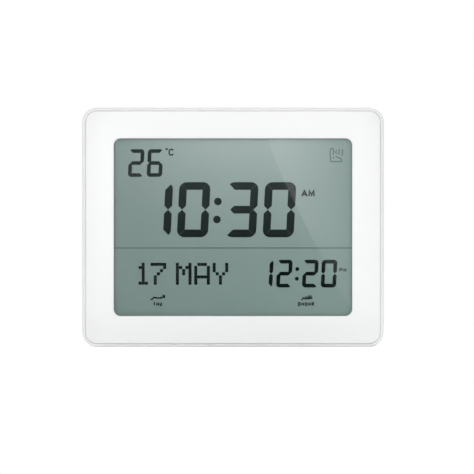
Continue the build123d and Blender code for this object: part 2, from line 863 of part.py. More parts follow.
    # Scoop for a thumb over the door's tongue
    scoop_radius = (thumb_radius**2 + thumb_depth**2) / (2 * thumb_depth)
    with Locations((tub_x, y_back + scoop_radius - thumb_depth, door_top + door_gap)):
        Sphere(scoop_radius, mode=Mode.SUBTRACT)

case_screws = round_screws(
    y_join + case_shoulder,
    1,
    case_shoulder + screw_bite,
    screw_radius,
    screw_head_radius,
    screw_head_height,
    [(x, v) for x in (boss_x, -boss_x) for v in (boss_v, -boss_v)],
)

# ---------------------------------------------------------------- stand
with BuildPart() as stand:
    with BuildSketch(across(-leg_width / 2)):
        with BuildLine():
            Polyline(
                (y_hinge, hinge_height + barrel_radius / 2),
                (y_leg, hinge_height),
                (y_leg, foot_height),
                (y_leg + leg_thickness, foot_height),
                (y_leg + leg_thickness, hinge_height),
                (y_hinge, hinge_height + barrel_radius / 2),
            )
        make_face()
        with Locations((y_hinge, hinge_height)):
            Circle(barrel_radius)
        with Locations((y_hinge, hinge_height + heel_length / 2)):
            Rectangle(heel_thickness, heel_length)
    extrude(amount=leg_width)
    lower_corners = stand.edges().filter_by(Axis.Y).group_by(Axis.Z)[0]
    fillet(lower_corners, leg_radius)
    # Ribs down the leg and across it, on the side that folds against the case
    rib_height = hinge_height - foot_height - leg_radius
    with BuildSketch(layer(y_leg - leg_rib_depth)):
        with at(0, hinge_height - rib_height / 2):
            with GridLocations((leg_width - 2 * leg_radius) / (leg_ribs - 1), 1, leg_ribs, 1):
                Rectangle(leg_rib, rib_height)
            with GridLocations(1, rib_height / leg_cross_ribs, 1, leg_cross_ribs):
                Rectangle(leg_width - 2 * leg_radius, leg_rib)
    extrude(amount=-leg_rib_depth)
    # Finger grip across the foot
    with BuildSketch(across(-grip_width / 2)):
        for row in range(grip_grooves):
            with Locations((y_leg + leg_thickness, foot_height + leg_radius + row * 2 * grip_groove)):
                Circle(grip_groove / 2)
    extrude(amount=grip_width, mode=Mode.SUBTRACT)
    with BuildSketch(across(-leg_width / 2)):
        with Locations((y_hinge, hinge_height)):
            Circle(barrel_bore)
    extrude(amount=leg_width, mode=Mode.SUBTRACT)

with BuildPart() as stand_pin:
    with BuildSketch(across(-pin_length / 2)):
        with Locations((y_hinge, hinge_height)):
            Circle(pin_radius)
    extrude(amount=pin_length)
    chamfer(stand_pin.edges(), pin_radius / 5)

# ---------------------------------------------------------------- battery door, cells and contacts
with BuildPart() as battery_door:
    with BuildSketch(layer(y_door)):
        door_outline()
    extrude(amount=-door_thickness)
    # The bottom edge is rounded over, since the door tilts about it
    with BuildSketch(across(tub_x - door_width / 2)):
        with Locations((door_axis_y, door_bottom)):
            Rectangle(door_thickness, door_thickness)
        with Locations((door_axis_y, door_axis_z)):
            Circle(door_thickness / 2, mode=Mode.SUBTRACT)
        with Locations((door_axis_y, door_axis_z + door_thickness / 2)):
            Rectangle(door_thickness, door_thickness, mode=Mode.SUBTRACT)
    extrude(amount=door_width, mode=Mode.SUBTRACT)
    # Hooks behind the case's wall
    with BuildSketch(layer(y_hook)):
        with at(tub_x, (door_bottom + door_thickness + hook_link + hook_tip) / 2):
            with GridLocations(hook_spread, 1, 2, 1):
                Rectangle(hook_width, door_bottom + door_thickness + hook_link - hook_tip)
    extrude(amount=-hook_thickness)
    with BuildSketch(layer(y_hook + hook_thickness)):
        with at(tub_x, door_axis_z + (door_thickness / 2 + hook_link) / 2):
            with GridLocations(hook_spread, 1, 2, 1):
                Rectangle(hook_width, door_thickness / 2 + hook_link)
    extrude(amount=-(y_door - y_hook - hook_thickness))
    # Tongue between two slots at the top
    with BuildSketch(layer(y_door)):
        with at(tub_x, door_top - latch_length / 2):
            with GridLocations(latch_width + latch_slot, 1, 2, 1):
                Rectangle(latch_slot, latch_length)
    extrude(amount=-door_thickness, mode=Mode.SUBTRACT)
    with BuildSketch(layer(y_back)):
        with at(tub_x, door_top - latch_length / 2):
            with GridLocations(1, latch_length / 4, 1, 3):
                Rectangle(latch_width - 4 * latch_slot, latch_slot)
    extrude(amount=door_thickness / 4, mode=Mode.SUBTRACT)


def cell(index):
    """One AA cell, lying along X with its positive end to the right in even rows."""
    heading = 1 if index % 2 == 0 else -1
    start = tub_left if heading > 0 else tub_right
    base = start + heading * (contact_thickness + spring_length)
    spot = Plane(origin=(base, y_cell_axis, cell_zs[index]), x_dir=(0, 1, 0), z_dir=(heading, 0, 0))
    with BuildPart() as battery:
        with BuildSketch(spot):
            Circle(cell_diameter / 2)
        extrude(amount=cell_length - cell_nub_height)
        fillet(battery.edges(), cell_edge_radius)
        with BuildSketch(spot.offset(cell_length - cell_nub_height)):
            Circle(cell_nub_radius)
        extrude(amount=cell_nub_height)
    return battery


cells = [cell(index) for index in range(cell_count)]


def contact_plate(start, heading, rows):
    """A plate on the compartment's end wall that spans the given rows of cells."""
    zs = [cell_zs[row] for row in rows]
    with BuildPart() as plate:
        with BuildSketch(across(start)):
            with Locations((y_cell_axis, sum(zs) / len(zs))):
                Rectangle(contact_size, max(zs) - min(zs) + contact_size)
        extrude(amount=heading * contact_thickness)
    return plate.part


with BuildPart() as battery_contacts:
    add(contact_plate(tub_left, 1, [0]))
    add(contact_plate(tub_left, 1, [1, 2]))
    add(contact_plate(tub_right, -1, [0, 1]))
    add(contact_plate(tub_right, -1, [2]))
    # Tags through the compartment's floor
    with BuildSketch(layer(y_tag)):
        with Locations(*[(x, z - mid_z) for x, z in tag_places]):
            Rectangle(contact_thickness, tag_width)
    extrude(amount=-(y_cell_axis - y_tag))

with BuildPart() as battery_springs:
    for index in range(cell_count):
        heading = 1 if index % 2 == 0 else -1
        start = tub_left if heading > 0 else tub_right
        seat = (start + heading * (contact_thickness + spring_wire / 2), y_cell_axis, cell_zs[index])
        with BuildLine() as coil:
            Helix(
                (spring_length - spring_wire) / spring_turns,
                spring_length - spring_wire,
                spring_base_radius,
                center=seat,
                direction=(heading, 0, 0),
                cone_angle=-spring_cone_angle,
            )
        with BuildSketch(Plane(origin=coil.line @ 0, z_dir=coil.line % 0)):
            Circle(spring_wire / 2)
        sweep(path=coil.line, is_frenet=True)

# ---------------------------------------------------------------- buttons
with BuildPart() as key_board:
    with BuildSketch(layer(y_key_board - board_thickness)):
        with at(0, button_height):
            RectangleRounded(key_board_width, key_board_height, board_corner)
        with Locations(*key_post_places):
            Circle(board_screw_radius + slide_fit, mode=Mode.SUBTRACT)
    extrude(amount=-board_thickness)

key_board_screws = round_screws(
    y_key_board - board_thickness,
    -1,
    board_screw_length,
    board_screw_radius,
    board_screw_head_radius,
    board_screw_head_height,
    key_post_places,
)

with BuildPart() as switch_bodies:
    with BuildSketch(layer(y_key_board)):
        with at(0, button_height):
            with GridLocations(button_pitch, 1, button_count, 1):
                RectangleRounded(switch_size, switch_size, switch_size / 12)
    extrude(amount=-switch_height)
    with BuildSketch(layer(y_switch)):
        with at(0, button_height):
            with GridLocations(button_pitch, 1, button_count, 1):
                Circle(plunger_radius + slide_fit)
    extrude(amount=plunger_depth + button_travel + stop_gap, mode=Mode.SUBTRACT)


def button_cap(x):
    """Round cap with a flange behind the panel and a shallow dish for the finger."""
    with BuildPart() as cap:
        with BuildSketch(layer(y_plunger)):
            with at(x, button_height):
                Circle(button_radius + button_flange)
        extrude(amount=-button_flange_thickness)
        with BuildSketch(layer(y_flange)):
            with at(x, button_height):
                Circle(button_radius)
        extrude(amount=-(y_panel + button_rise - y_flange))
        crown = cap.faces().sort_by(Axis.Y)[-1]
        fillet(crown.edges(), 2 * button_dish)
        dish_radius = (button_radius**2 + button_dish**2) / (2 * button_dish)
        with Locations((x, y_panel + button_rise - button_dish + dish_radius, button_height)):
            Sphere(dish_radius, mode=Mode.SUBTRACT)
    return cap


def switch_plunger(x):
    """The switch's plunger, which the cap rests on."""
    with BuildPart() as plunger:
        with BuildSketch(layer(y_switch - plunger_depth)):
            with at(x, button_height):
                Circle(plunger_radius)
        extrude(amount=-(y_plunger - y_switch + plunger_depth))
    return plunger


button_caps = {name: button_cap(x) for name, x in zip(button_names, button_xs)}
switch_plungers = {name: switch_plunger(x) for name, x in zip(button_names, button_xs)}

# ---------------------------------------------------------------- speaker
speaker_middle = Plane(origin=(speaker_x, 0, speaker_z), x_dir=(1, 0, 0), z_dir=(0, 0, 1))
speaker_axis = Axis((speaker_x, 0, speaker_z), (0, 1, 0))
basket_inner = speaker_radius - speaker_rim
cone_middle = y_flange_front - cone_rise

with BuildPart() as speaker_gasket:
    with BuildSketch(layer(y_flange_back)):
        with at(speaker_x, speaker_z):
            Circle(speaker_radius)
            Circle(basket_inner, mode=Mode.SUBTRACT)
    extrude(amount=-speaker_gasket_thickness)

with BuildPart() as speaker_frame:
    with BuildSketch(speaker_middle):
        with BuildLine():
            Polyline(
                (speaker_radius, y_flange_back),
                (basket_inner, y_flange_back),
                (basket_inner, y_flange_front),
                (magnet_radius, y_basket + speaker_sheet),
                (0, y_basket + speaker_sheet),
                (0, y_basket),
                (magnet_radius + speaker_sheet, y_basket),
                (basket_inner + speaker_sheet, y_flange_front),
                (speaker_radius, y_flange_front),
                (speaker_radius, y_flange_back),
            )
        make_face()
    revolve(axis=speaker_axis)

with BuildPart() as speaker_magnet:
    with BuildSketch(layer(y_magnet)):
        with at(speaker_x, speaker_z):
            Circle(magnet_radius)
    extrude(amount=-magnet_thickness)
    chamfer(speaker_magnet.edges(), speaker_sheet)

with BuildPart() as speaker_backplate:
    with BuildSketch(layer(y_backplate)):
        with at(speaker_x, speaker_z):
            Circle(backplate_radius)
    extrude(amount=-backplate_thickness)

with BuildPart() as speaker_cone:
    with BuildSketch(speaker_middle):
        with BuildLine():
            Polyline(
                (basket_inner - stop_gap, y_flange_front),
                (basket_inner - stop_gap, y_flange_front + cone_sheet),
                (basket_inner - speaker_rim, y_flange_front + cone_sheet),
                (dust_cap_radius, cone_middle + cone_sheet),
                (dust_cap_radius - cone_sheet, cone_middle + cone_sheet),
                (dust_cap_radius - cone_sheet, y_basket + speaker_sheet),
                (dust_cap_radius, y_basket + speaker_sheet),
                (dust_cap_radius, cone_middle),
                (basket_inner - speaker_rim, y_flange_front),
                (basket_inner - stop_gap, y_flange_front),
            )
        make_face()
    revolve(axis=speaker_axis)

with BuildPart() as speaker_dust_cap:
    with BuildSketch(layer(cone_middle)):
        with at(speaker_x, speaker_z):
            Circle(dust_cap_radius - cone_sheet - cap_gap)
    extrude(amount=-dust_cap_rise)
    fillet(speaker_dust_cap.faces().sort_by(Axis.Y)[-1].edges(), 0.9 * dust_cap_rise)

with BuildPart() as speaker_terminal:
    with BuildSketch(layer(y_flange_front - terminal_thickness)):
        with at(speaker_x, terminal_z):
            Rectangle(terminal_width, terminal_height)
    extrude(amount=-terminal_thickness)

with BuildPart() as speaker_washers:
    with BuildSketch(layer(y_flange_front - washer_thickness)):
        with Locations(*speaker_clip_places):
            Circle(case_boss_radius + fit + washer_overlap)
            Circle(screw_radius + slide_fit, mode=Mode.SUBTRACT)
    extrude(amount=-washer_thickness)

speaker_screws = round_screws(
    y_flange_front - washer_thickness,
    -1,
    washer_thickness + y_back - case_wall - y_flange_front,
    screw_radius,
    screw_head_radius,
    screw_head_height,
    speaker_clip_places,
)

# ---------------------------------------------------------------- wires
def lead_between(x0, y0, z0, x1, y1, z1):
    """A wire's line that leaves both of its ends along the depth."""
    slack = abs(y1 - y0) / 2
    return Bezier((x0, y0, z0), (x0, y0 - slack, z0), (x1, y1 + slack, z1), (x1, y1, z1))


with BuildPart() as speaker_wires:
    for side in (1, -1):
        with BuildLine() as run:
            lead_between(
                speaker_x + side * terminal_width / 4,
                y_flange_front - terminal_thickness,
                terminal_z,
                speaker_plug_x + side * plug_width / 4,
                y_board_back + plug_depth,
                terminal_z,
            )
        with BuildSketch(Plane(origin=run.line @ 0, z_dir=run.line % 0)):
            Circle(wire_radius)
        sweep(path=run.line)

with BuildPart() as battery_wires:
    for (x, z), turn in zip(tag_places, (-1, 1)):
        with BuildLine() as run:
            FilletPolyline(
                (x, y_tag, z),
                (x, y_tag - wire_radius * 1.5, z),
                (x, y_tag - wire_radius * 1.5, z + turn * board_wire_run),
                (x, y_board_back, z + turn * board_wire_run),
                radius=wire_radius * 0.7,
            )
        with BuildSketch(Plane(origin=run.line @ 0, z_dir=run.line % 0)):
            Circle(wire_radius * 0.8)
        sweep(path=run.line)

with BuildPart() as key_ribbon:
    with BuildLine() as run:
        lead_between(
            0, y_key_board - board_thickness, ribbon_z, 0, y_board_back + plug_depth, ribbon_plug_z
        )
    with BuildSketch(Plane(origin=run.line @ 0, x_dir=(1, 0, 0), z_dir=run.line % 0)):
        Rectangle(ribbon_width, ribbon_thickness)
    sweep(path=run.line)

# ---------------------------------------------------------------- names and files
nodes = {
    "front_frame": front_frame,
    "window_lens": window_lens,
    "display_gasket": display_gasket,
    "front_polariser": front_polariser,
    "front_glass": front_glass,
    "rear_glass": rear_glass,
    "rear_polariser": rear_polariser,
    "light_guide": light_guide,
    "reflector_sheet": reflector_sheet,
    "backlight_lamps": backlight_lamps,
    "display_holder": display_holder,
    "contact_strip_top": contact_strip_top,
    "contact_strip_bottom": contact_strip_bottom,
    "main_board": main_board,
    "board_screws": board_screws,
    "controller_blob": controller_blob,
    "sound_chip": sound_chip,
    "sound_chip_leads": sound_chip_leads,
    "clock_crystal": clock_crystal,
    "board_resistors": board_resistors,
    "board_capacitors": board_capacitors,
    "temperature_sensor": temperature_sensor,
    "board_connectors": board_connectors,
    "rear_case": rear_case,
    "case_screws": case_screws,
    "stand": stand,
    "stand_pin": stand_pin,
    "battery_door": battery_door,
    "battery_contacts": battery_contacts,
    "battery_springs": battery_springs,
    "key_board": key_board,
    "key_board_screws": key_board_screws,
    "switch_bodies": switch_bodies,
    "speaker_gasket": speaker_gasket,
    "speaker_frame": speaker_frame,
    "speaker_magnet": speaker_magnet,
    "speaker_backplate": speaker_backplate,
    "speaker_cone": speaker_cone,
    "speaker_dust_cap": speaker_dust_cap,
    "speaker_terminal": speaker_terminal,
    "speaker_washers": speaker_washers,
    "speaker_screws": speaker_screws,
    "speaker_wires": speaker_wires,
    "battery_wires": battery_wires,
    "key_ribbon": key_ribbon,
}
nodes.update({f"cell_{index + 1}": battery for index, battery in enumerate(cells)})
nodes.update({f"button_{name}": cap for name, cap in button_caps.items()})
nodes.update({f"plunger_{name}": plunger for name, plunger in switch_plungers.items()})

os.makedirs("parts", exist_ok=True)
for name, node in nodes.items():
    node.part.label = name
    export_step(node.part, f"parts/{name}.step")
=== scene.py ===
"""Looks of the large-LCD desk and wall clock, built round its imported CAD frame.

X runs to the viewer's right, Y from the front to the back and Z up. Blender works in metres. What
is printed on the display or moulded into the case is laid out in millimetres from the middle of
the case, x to the viewer's right and v up, and prisms() turns those outlines into thin solid
pieces.
"""

from math import cos, degrees, radians, sin, tan

import bmesh
import bpy
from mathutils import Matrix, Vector


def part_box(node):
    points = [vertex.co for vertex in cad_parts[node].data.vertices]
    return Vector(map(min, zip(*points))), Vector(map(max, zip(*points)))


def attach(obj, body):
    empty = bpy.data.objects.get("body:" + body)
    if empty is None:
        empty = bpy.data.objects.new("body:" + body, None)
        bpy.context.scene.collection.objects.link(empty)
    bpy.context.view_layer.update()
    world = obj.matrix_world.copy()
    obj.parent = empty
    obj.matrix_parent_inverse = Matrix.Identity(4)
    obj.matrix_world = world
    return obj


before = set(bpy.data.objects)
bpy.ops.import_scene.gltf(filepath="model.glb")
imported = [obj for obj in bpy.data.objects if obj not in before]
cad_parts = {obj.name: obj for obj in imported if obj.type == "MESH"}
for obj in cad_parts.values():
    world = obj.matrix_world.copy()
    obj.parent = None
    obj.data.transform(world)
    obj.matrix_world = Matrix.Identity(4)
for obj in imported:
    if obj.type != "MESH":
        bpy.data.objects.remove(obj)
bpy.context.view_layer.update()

MM = 0.001
LENS_OVERLAP = 3.0  # millimetres of the lens behind the frame, on each side

# ---------------------------------------------------------------- places read from the frame
case_low, case_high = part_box("rear_case")
mid_x = (case_low.x + case_high.x) / 2
mid_z = (case_low.z + case_high.z) / 2
case_centre = Vector((mid_x, 0, mid_z))
film_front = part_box("front_polariser")[0].y
lens_low, lens_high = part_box("window_lens")
window_width = (lens_high.x - lens_low.x) / MM - 2 * LENS_OVERLAP
window_height = (lens_high.z - lens_low.z) / MM - 2 * LENS_OVERLAP
button_names = ["light", "alarm", "up", "down", "azan", "set"]
button_boxes = {name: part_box(f"button_{name}") for name in button_names}
door_low, door_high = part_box("battery_door")

# ---------------------------------------------------------------- what the display shows
INK_THICKNESS = 0.03
SEGMENTS = {"0": "abcdef", "1": "bc", "2": "abdeg", "3": "abcdg", "6": "acdefg"}
SLANT = 2.9  # degrees that the digits lean to the right

# Width, height, stroke, corner radius and gap between segments
TIME_FACE = (21.7, 38.4, 5.4, 5.2, 0.025)
SMALL_FACE = (10.75, 19.3, 2.62, 2.45, 0.015)

# Each digit's left side at half its height, and the digits' foot
TIME_DIGITS = [("1", -64.2), ("0", -38.2), ("3", -4.75), ("0", 21.5)]
TIME_FOOT = -6.98
TIME_DOTS = [(-10.5, 17.9), (-11.15, 5.4)]
TIME_DOT_RADIUS = 2.65
PRAYER_DIGITS = [("1", 17.1), ("2", 30.4), ("2", 48.45), ("0", 61.5)]
PRAYER_FOOT = -41.95
PRAYER_DOTS = [(44.75, -29.1), (44.45, -35.85)]
PRAYER_DOT_RADIUS = 1.35
TEMPERATURE_DIGITS = [("2", -72.75), ("6", -59.65)]
TEMPERATURE_FOOT = 35.05

DEGREE_RING = (-46.2, 54.4, 0.55, 0.62)  # x, v, radius and stroke
DIVIDER_V = -14.45
DIVIDER_HEIGHT = 0.95

# Text that every clock of this kind shows: what it says, left, foot, width, height, stroke and the
# gap between its letters in letter widths
LABELS = {
    "scale_letter": ("C", -44.9, 49.8, 3.8, 4.9, 0.95, 0),
    "morning_label": ("AM", 47.4, 21.0, 9.7, 5.0, 1.25, 0.05),
    "noon_label": ("PM", 74.1, -31.1, 4.9, 2.6, 0.6, 0.2),
    "weekday_label": ("THU", -55.6, -54.9, 6.2, 2.8, 0.7, 0.24),
    "prayer_label": ("DHOHR", 45.3, -54.9, 11.2, 2.8, 0.66, 0.3),
}
# Letters as lines in a box one unit wide and high
LETTERS = {
    "A": [[(0, 0), (0.5, 1), (1, 0)], [(0.2, 0.34), (0.8, 0.34)]],
    "C": [[(1, 0.78), (0.75, 1), (0.25, 1), (0, 0.75), (0, 0.25), (0.25, 0), (0.75, 0), (1, 0.22)]],
    "D": [
        [(0.5, 0), (0, 0), (0, 1), (0.5, 1)],
        [(0.5, 1), (0.8, 0.95), (1, 0.7), (1, 0.3), (0.8, 0.05), (0.5, 0)],
    ],
    "H": [[(0, 0), (0, 1)], [(1, 0), (1, 1)], [(0, 0.5), (1, 0.5)]],
    "M": [[(0, 0), (0.08, 1), (0.5, 0.2), (0.92, 1), (1, 0)]],
    "O": [
        [(0.5, 0), (0.2, 0.05), (0, 0.3), (0, 0.7), (0.2, 0.95), (0.5, 1)],
        [(0.5, 1), (0.8, 0.95), (1, 0.7), (1, 0.3), (0.8, 0.05), (0.5, 0)],
    ],
    "P": [[(0, 0), (0, 1), (0.7, 1), (1, 0.87), (1, 0.63), (0.7, 0.48), (0, 0.48)]],
    "R": [
        [(0, 0), (0, 1), (0.7, 1), (1, 0.87), (1, 0.65), (0.7, 0.5), (0, 0.5)],
        [(0.5, 0.5), (1, 0)],
    ],
    "T": [[(0, 1), (1, 1)], [(0.5, 1), (0.5, 0)]],
    "U": [[(0, 1), (0, 0.25), (0.25, 0), (0.75, 0), (1, 0.25), (1, 1)]],
}

# The small words under the date and the prayer time, as short strokes
SCRIPT_STROKE = 0.85
WEEKDAY_SCRIPT = [
    [(-47.7, -47.2), (-47.7, -49.3)],
    [(-48.6, -46.9), (-48.6, -49.0), (-49.6, -49.0), (-50.4, -48.5), (-49.9, -49.4)],
    [(-49.9, -49.4), (-51.0, -49.6), (-51.6, -48.9), (-52.1, -49.5), (-52.9, -49.5)],
    [(-52.9, -49.5), (-53.1, -48.8), (-53.8, -49.4), (-54.3, -48.6), (-54.9, -49.3)],
    [(-54.9, -49.3), (-55.4, -48.7), (-55.8, -49.9), (-56.7, -50.5), (-57.4, -49.8)],
]
PRAYER_SCRIPT = [
    [(52.7, -49.5), (52.7, -47.2)],
    [(52.6, -49.2), (53.6, -48.4), (54.6, -48.5), (55.1, -49.1), (54.6, -49.6), (52.0, -49.7)],
    [(52.0, -49.7), (51.6, -48.9), (50.8, -48.2), (50.4, -49.2), (51.0, -50.3), (51.5, -49.6)],
    [(51.0, -50.2), (50.2, -49.7), (49.4, -49.5), (48.9, -48.6), (48.8, -49.6), (48.2, -50.3)],
    [(48.2, -50.3), (47.4, -50.7)],
    [(53.8, -47.4), (54.5, -47.4)],
]

# The display's ground: its dark colours and its colours under the painted highlight, each at its
# left and right; the darker left is painted shade
GROUND_DARK = ((0.202, 0.279, 0.261), (0.238, 0.328, 0.307))
GROUND_HIGHLIGHT = ((0.379, 0.460, 0.443), (0.443, 0.535, 0.518))
MOTTLE_COLOUR = (0.34, 0.4, 0.4)
MOTTLE_SHARE = 0.05
HIGHLIGHT_RISE = 2.2  # the power with which the painted highlight grows to the top
HIGHLIGHT_AT_SIDES = 0.3  # of the painted highlight, at the window's left and right
EDGE_SHADOW_WIDTH = 1.1  # width of the painted shadow that the frame casts along the window's edge
EDGE_SHADOW_COLOUR = (0.17, 0.19, 0.19)
EDGE_SHADOW_SHARE = 0.4  # of that painted shadow's colour at the very edge

# The ink's colour at its darkest and under the painted highlight, the heights between which that
# highlight grows, and its mottle
INK_LOW = (0.0015, 0.0065, 0.0055)
INK_HIGHLIT = (0.026, 0.037, 0.036)
INK_HIGHLIGHT_HEIGHTS = (-30.0, 32.0)
INK_MOTTLE = (0.06, 0.08, 0.08)
INK_MOTTLE_SHARE = 0.03

# A prayer tower with its call, in the window's top right corner
ICON_STROKE = 0.66
ICON_LINES = [
    [
        (68.0, 45.7), (67.9, 47.2), (67.6, 49.8), (67.6, 52.0),
        (67.7, 53.5), (68.2, 54.6), (69.0, 55.0),
    ],
    [(69.0, 55.0), (69.7, 54.6), (70.0, 53.5), (69.8, 52.2), (69.9, 50.5)],
    [(69.8, 49.0), (70.1, 48.0)],
    [(67.7, 45.7), (75.9, 45.7)],
    [
        (71.6, 49.3), (72.4, 48.9), (73.3, 48.5), (74.5, 48.1),
        (75.2, 47.4), (75.6, 46.6), (75.7, 45.7),
    ],
    [(72.3, 53.7), (71.6, 52.9), (71.5, 52.1), (72.2, 51.3)],
    [(73.8, 54.6), (73.9, 53.5), (73.9, 52.0), (73.7, 50.6)],
    [(76.1, 54.5), (76.3, 53.3), (76.2, 51.4), (75.9, 49.8)],
]

# Marks moulded above the buttons, in millimetres about each mark's middle, as seen from behind
PANEL_DEPTH = 1.4  # of the button panel's floor below the back
MARK_LIFT = 7.5  # of a mark's middle over its button's
MARK_STROKE = 0.45
MARK_RISE = 0.22
MARK_ROOT = 0.05  # how far a mark reaches into the wall it stands on
MARK_LINES = {
    "alarm": [
        [
            (-1.6, -0.9), (-1.05, -0.5), (-1.05, 0.4), (-0.65, 1.15),
            (0, 1.4), (0.65, 1.15), (1.05, 0.4),
        ],
        [(1.05, 0.4), (1.05, -0.5), (1.6, -0.9), (-1.6, -0.9)],
        [(-0.4, -1.5), (0.4, -1.5)],
        [(0, 1.4), (0, 1.85)],
    ],
    "set": [[(0, 1.0), (0, 0), (0.75, -0.35)]],
}
MARK_SHAPES = {
    "up": [[(-1.5, -1.1), (1.5, -1.1), (0, 1.4)]],
    "down": [[(-1.5, 1.1), (0, -1.4), (1.5, 1.1)]],
    "azan": [[(-1.9, -0.6), (-1.1, -0.6), (-0.1, -1.5), (-0.1, 1.5), (-1.1, 0.6), (-1.9, 0.6)]],
}
MARK_RINGS = {"light": 0.75, "set": 1.55}  # radius
SUN_RAY_COUNT = 8
SUN_RAY_REACH = (1.2, 1.85)  # from and to, from the mark's middle
WAVE_RADII = (0.9, 1.75)
WAVE_SPREAD = 42  # degrees up and down

ARROW_LIFT = 1.4  # of the latch's arrow over the battery door
ARROW_WIDTH = 4.2
ARROW_HEIGHT = 2.6
ARROW_DEPTHS = (1.3, 0.6)  # of the arrow's foot and top below the back

# A dot font seven rows high, with the characters of the date
DATE = "17 MAY"
DATE_LEFT = -65.8
DATE_TOP = -24.75
DOT_PITCH = 2.187
DOT_SIZE = 2.12
DOT_LETTER_GAP = 0.85  # in pitches
DOT_SPACE = 2.2  # a space's width, in pitches
DOT_FONT = {
    "1": [".#.", "##.", ".#.", ".#.", ".#.", ".#.", "###"],
    "7": ["#####", "....#", "...#.", "..#..", ".#...", ".#...", ".#..."],
    "M": ["#...#", "##.##", "#.#.#", "#.#.#", "#...#", "#...#", "#...#"],
    "A": [".###.", "#...#", "#...#", "#...#", "#####", "#...#", "#...#"],
    "Y": ["#...#", "#...#", "#...#", ".#.#.", "..#..", "..#..", "..#.."],
}


# ---------------------------------------------------------------- outlines
MITRE_FLOOR = 0.5  # keeps a mitre within twice the half width
RING_STEPS = 10  # to each half


def on_circle(x, v, radius, turn):
    """The point of a circle at an angle in degrees."""
    return x + radius * cos(radians(turn)), v + radius * sin(radians(turn))


def arc(x, v, radius, start, end, steps=5):
    """Points on a circle from one angle to another, in degrees."""
    turns = (start + (end - start) * i / steps for i in range(steps + 1))
    return [on_circle(x, v, radius, turn) for turn in turns]


def disc(x, v, radius, corners=28):
    return arc(x, v, radius, 0, 360 - 360 / corners, corners - 1)


def rectangle(x, v, width, height):
    half_width, half_height = width / 2, height / 2
    return [
        (x - half_width, v - half_height),
        (x + half_width, v - half_height),
        (x + half_width, v + half_height),
        (x - half_width, v + half_height),
    ]


def ribbon(points, width):
    """The outline of a line of that width through the points, mitred at its corners."""
    line = [Vector(p) for p in points]
    left, right = [], []
    for i, point in enumerate(line):
        before = (point - line[i - 1]).normalized() if i > 0 else None
        after = (line[i + 1] - point).normalized() if i + 1 < len(line) else None
        along = ((before or after) + (after or before)).normalized()
        across = Vector((-along.y, along.x))
        reach = width / 2 / max(MITRE_FLOOR, along.dot(after or before))
        left.append(tuple(point + across * reach))
        right.append(tuple(point - across * reach))
    return left + right[::-1]


def strokes(lines, width):
    """Each run between two points of the lines as its own short bar, for small crooked writing."""
    return [ribbon(run, width) for line in lines for run in zip(line, line[1:])]


def ring(x, v, radius, width):
    """A ring's outline as two half rings that meet."""
    halves = (arc(x, v, radius, start, start + 180, RING_STEPS) for start in (0, 180))
    return [ribbon(half, width) for half in halves]


def segment(letter, face):
    """One bar of a seven-segment digit whose corner is at the origin. The bars' ends are mitred:
    the digit's outer corners are round and its bars meet in points at half height."""
    width, height, stroke, corner, gap = face
    middle = height / 2
    skew = degrees(gap / corner)
    if letter in "ad":
        outline = [(stroke + gap, height - stroke), (width - stroke - gap, height - stroke)]
        outline += arc(width - corner, height - corner, corner, 45 + skew, 90)
        outline += arc(corner, height - corner, corner, 90, 135 - skew)
    elif letter == "g":
        half, inner = stroke / 2, stroke + gap
        outline = [(half + gap, middle), (inner, middle + half)]
        outline += [(width - inner, middle + half), (width - half - gap, middle)]
        outline += [(width - inner, middle - half), (inner, middle - half)]
    else:
        shoulder = middle + stroke / 2 + gap
        outline = [(width - stroke, shoulder), (width - stroke / 2, middle + gap)]
        outline += [(width, shoulder)]
        outline += arc(width - corner, height - corner, corner, 0, 45 - skew)
        outline += [(width - stroke, height - stroke - gap)]
    if letter in "cde":
        outline = [(x, height - v) for x, v in outline]
    if letter in "ef":
        outline = [(width - x, v) for x, v in outline]
    return outline


def digits(places, foot, face):
    """The lit bars of a row of digits, leaning to the right about their middle height."""
    lean = tan(radians(SLANT))
    return [
        [(left + x + (v - face[1] / 2) * lean, foot + v) for x, v in segment(letter, face)]
        for digit, left in places
        for letter in SEGMENTS[digit]
    ]


def dot_matrix(text, left, top):
    """The lit dots of a line in the dot font, as squares."""
    squares = []
    for letter in text:
        if letter == " ":
            left += DOT_SPACE * DOT_PITCH
            continue
        for row, cells in enumerate(DOT_FONT[letter]):
            for column, cell in enumerate(cells):
                if cell == "#":
                    x, v = left + (column + 0.5) * DOT_PITCH, top - (row + 0.5) * DOT_PITCH
                    squares.append(rectangle(x, v, DOT_SIZE, DOT_SIZE))
        left += (len(DOT_FONT[letter][0]) + DOT_LETTER_GAP) * DOT_PITCH
    return squares


def lettering(text, left, foot, width, height, stroke, gap):
    """Sans-serif letters as ribbons, fitted to a width and a height."""
    letter_width = width / (len(text) + (len(text) - 1) * gap)
    ribbons = []
    for place, letter in enumerate(text):
        x_start = left + place * letter_width * (1 + gap) + stroke / 2
        for line in LETTERS[letter]:
            points = [
                (x_start + x * (letter_width - stroke), foot + stroke / 2 + v * (height - stroke))
                for x, v in line
            ]
            ribbons.append(ribbon(points, stroke))
    return ribbons


# ---------------------------------------------------------------- pieces
def new_piece(name, mesh, look):
    """Puts a mesh in the scene as an object of its own."""
    mesh.materials.append(look)
    piece = bpy.data.objects.new(name, mesh)
    bpy.context.scene.collection.objects.link(piece)
    return piece


def flat_piece(name, points, look):
    """A single flat face through the points."""
    mesh = bpy.data.meshes.new(name)
    mesh.from_pydata(points, [], [range(len(points))])
    return new_piece(name, mesh, look)


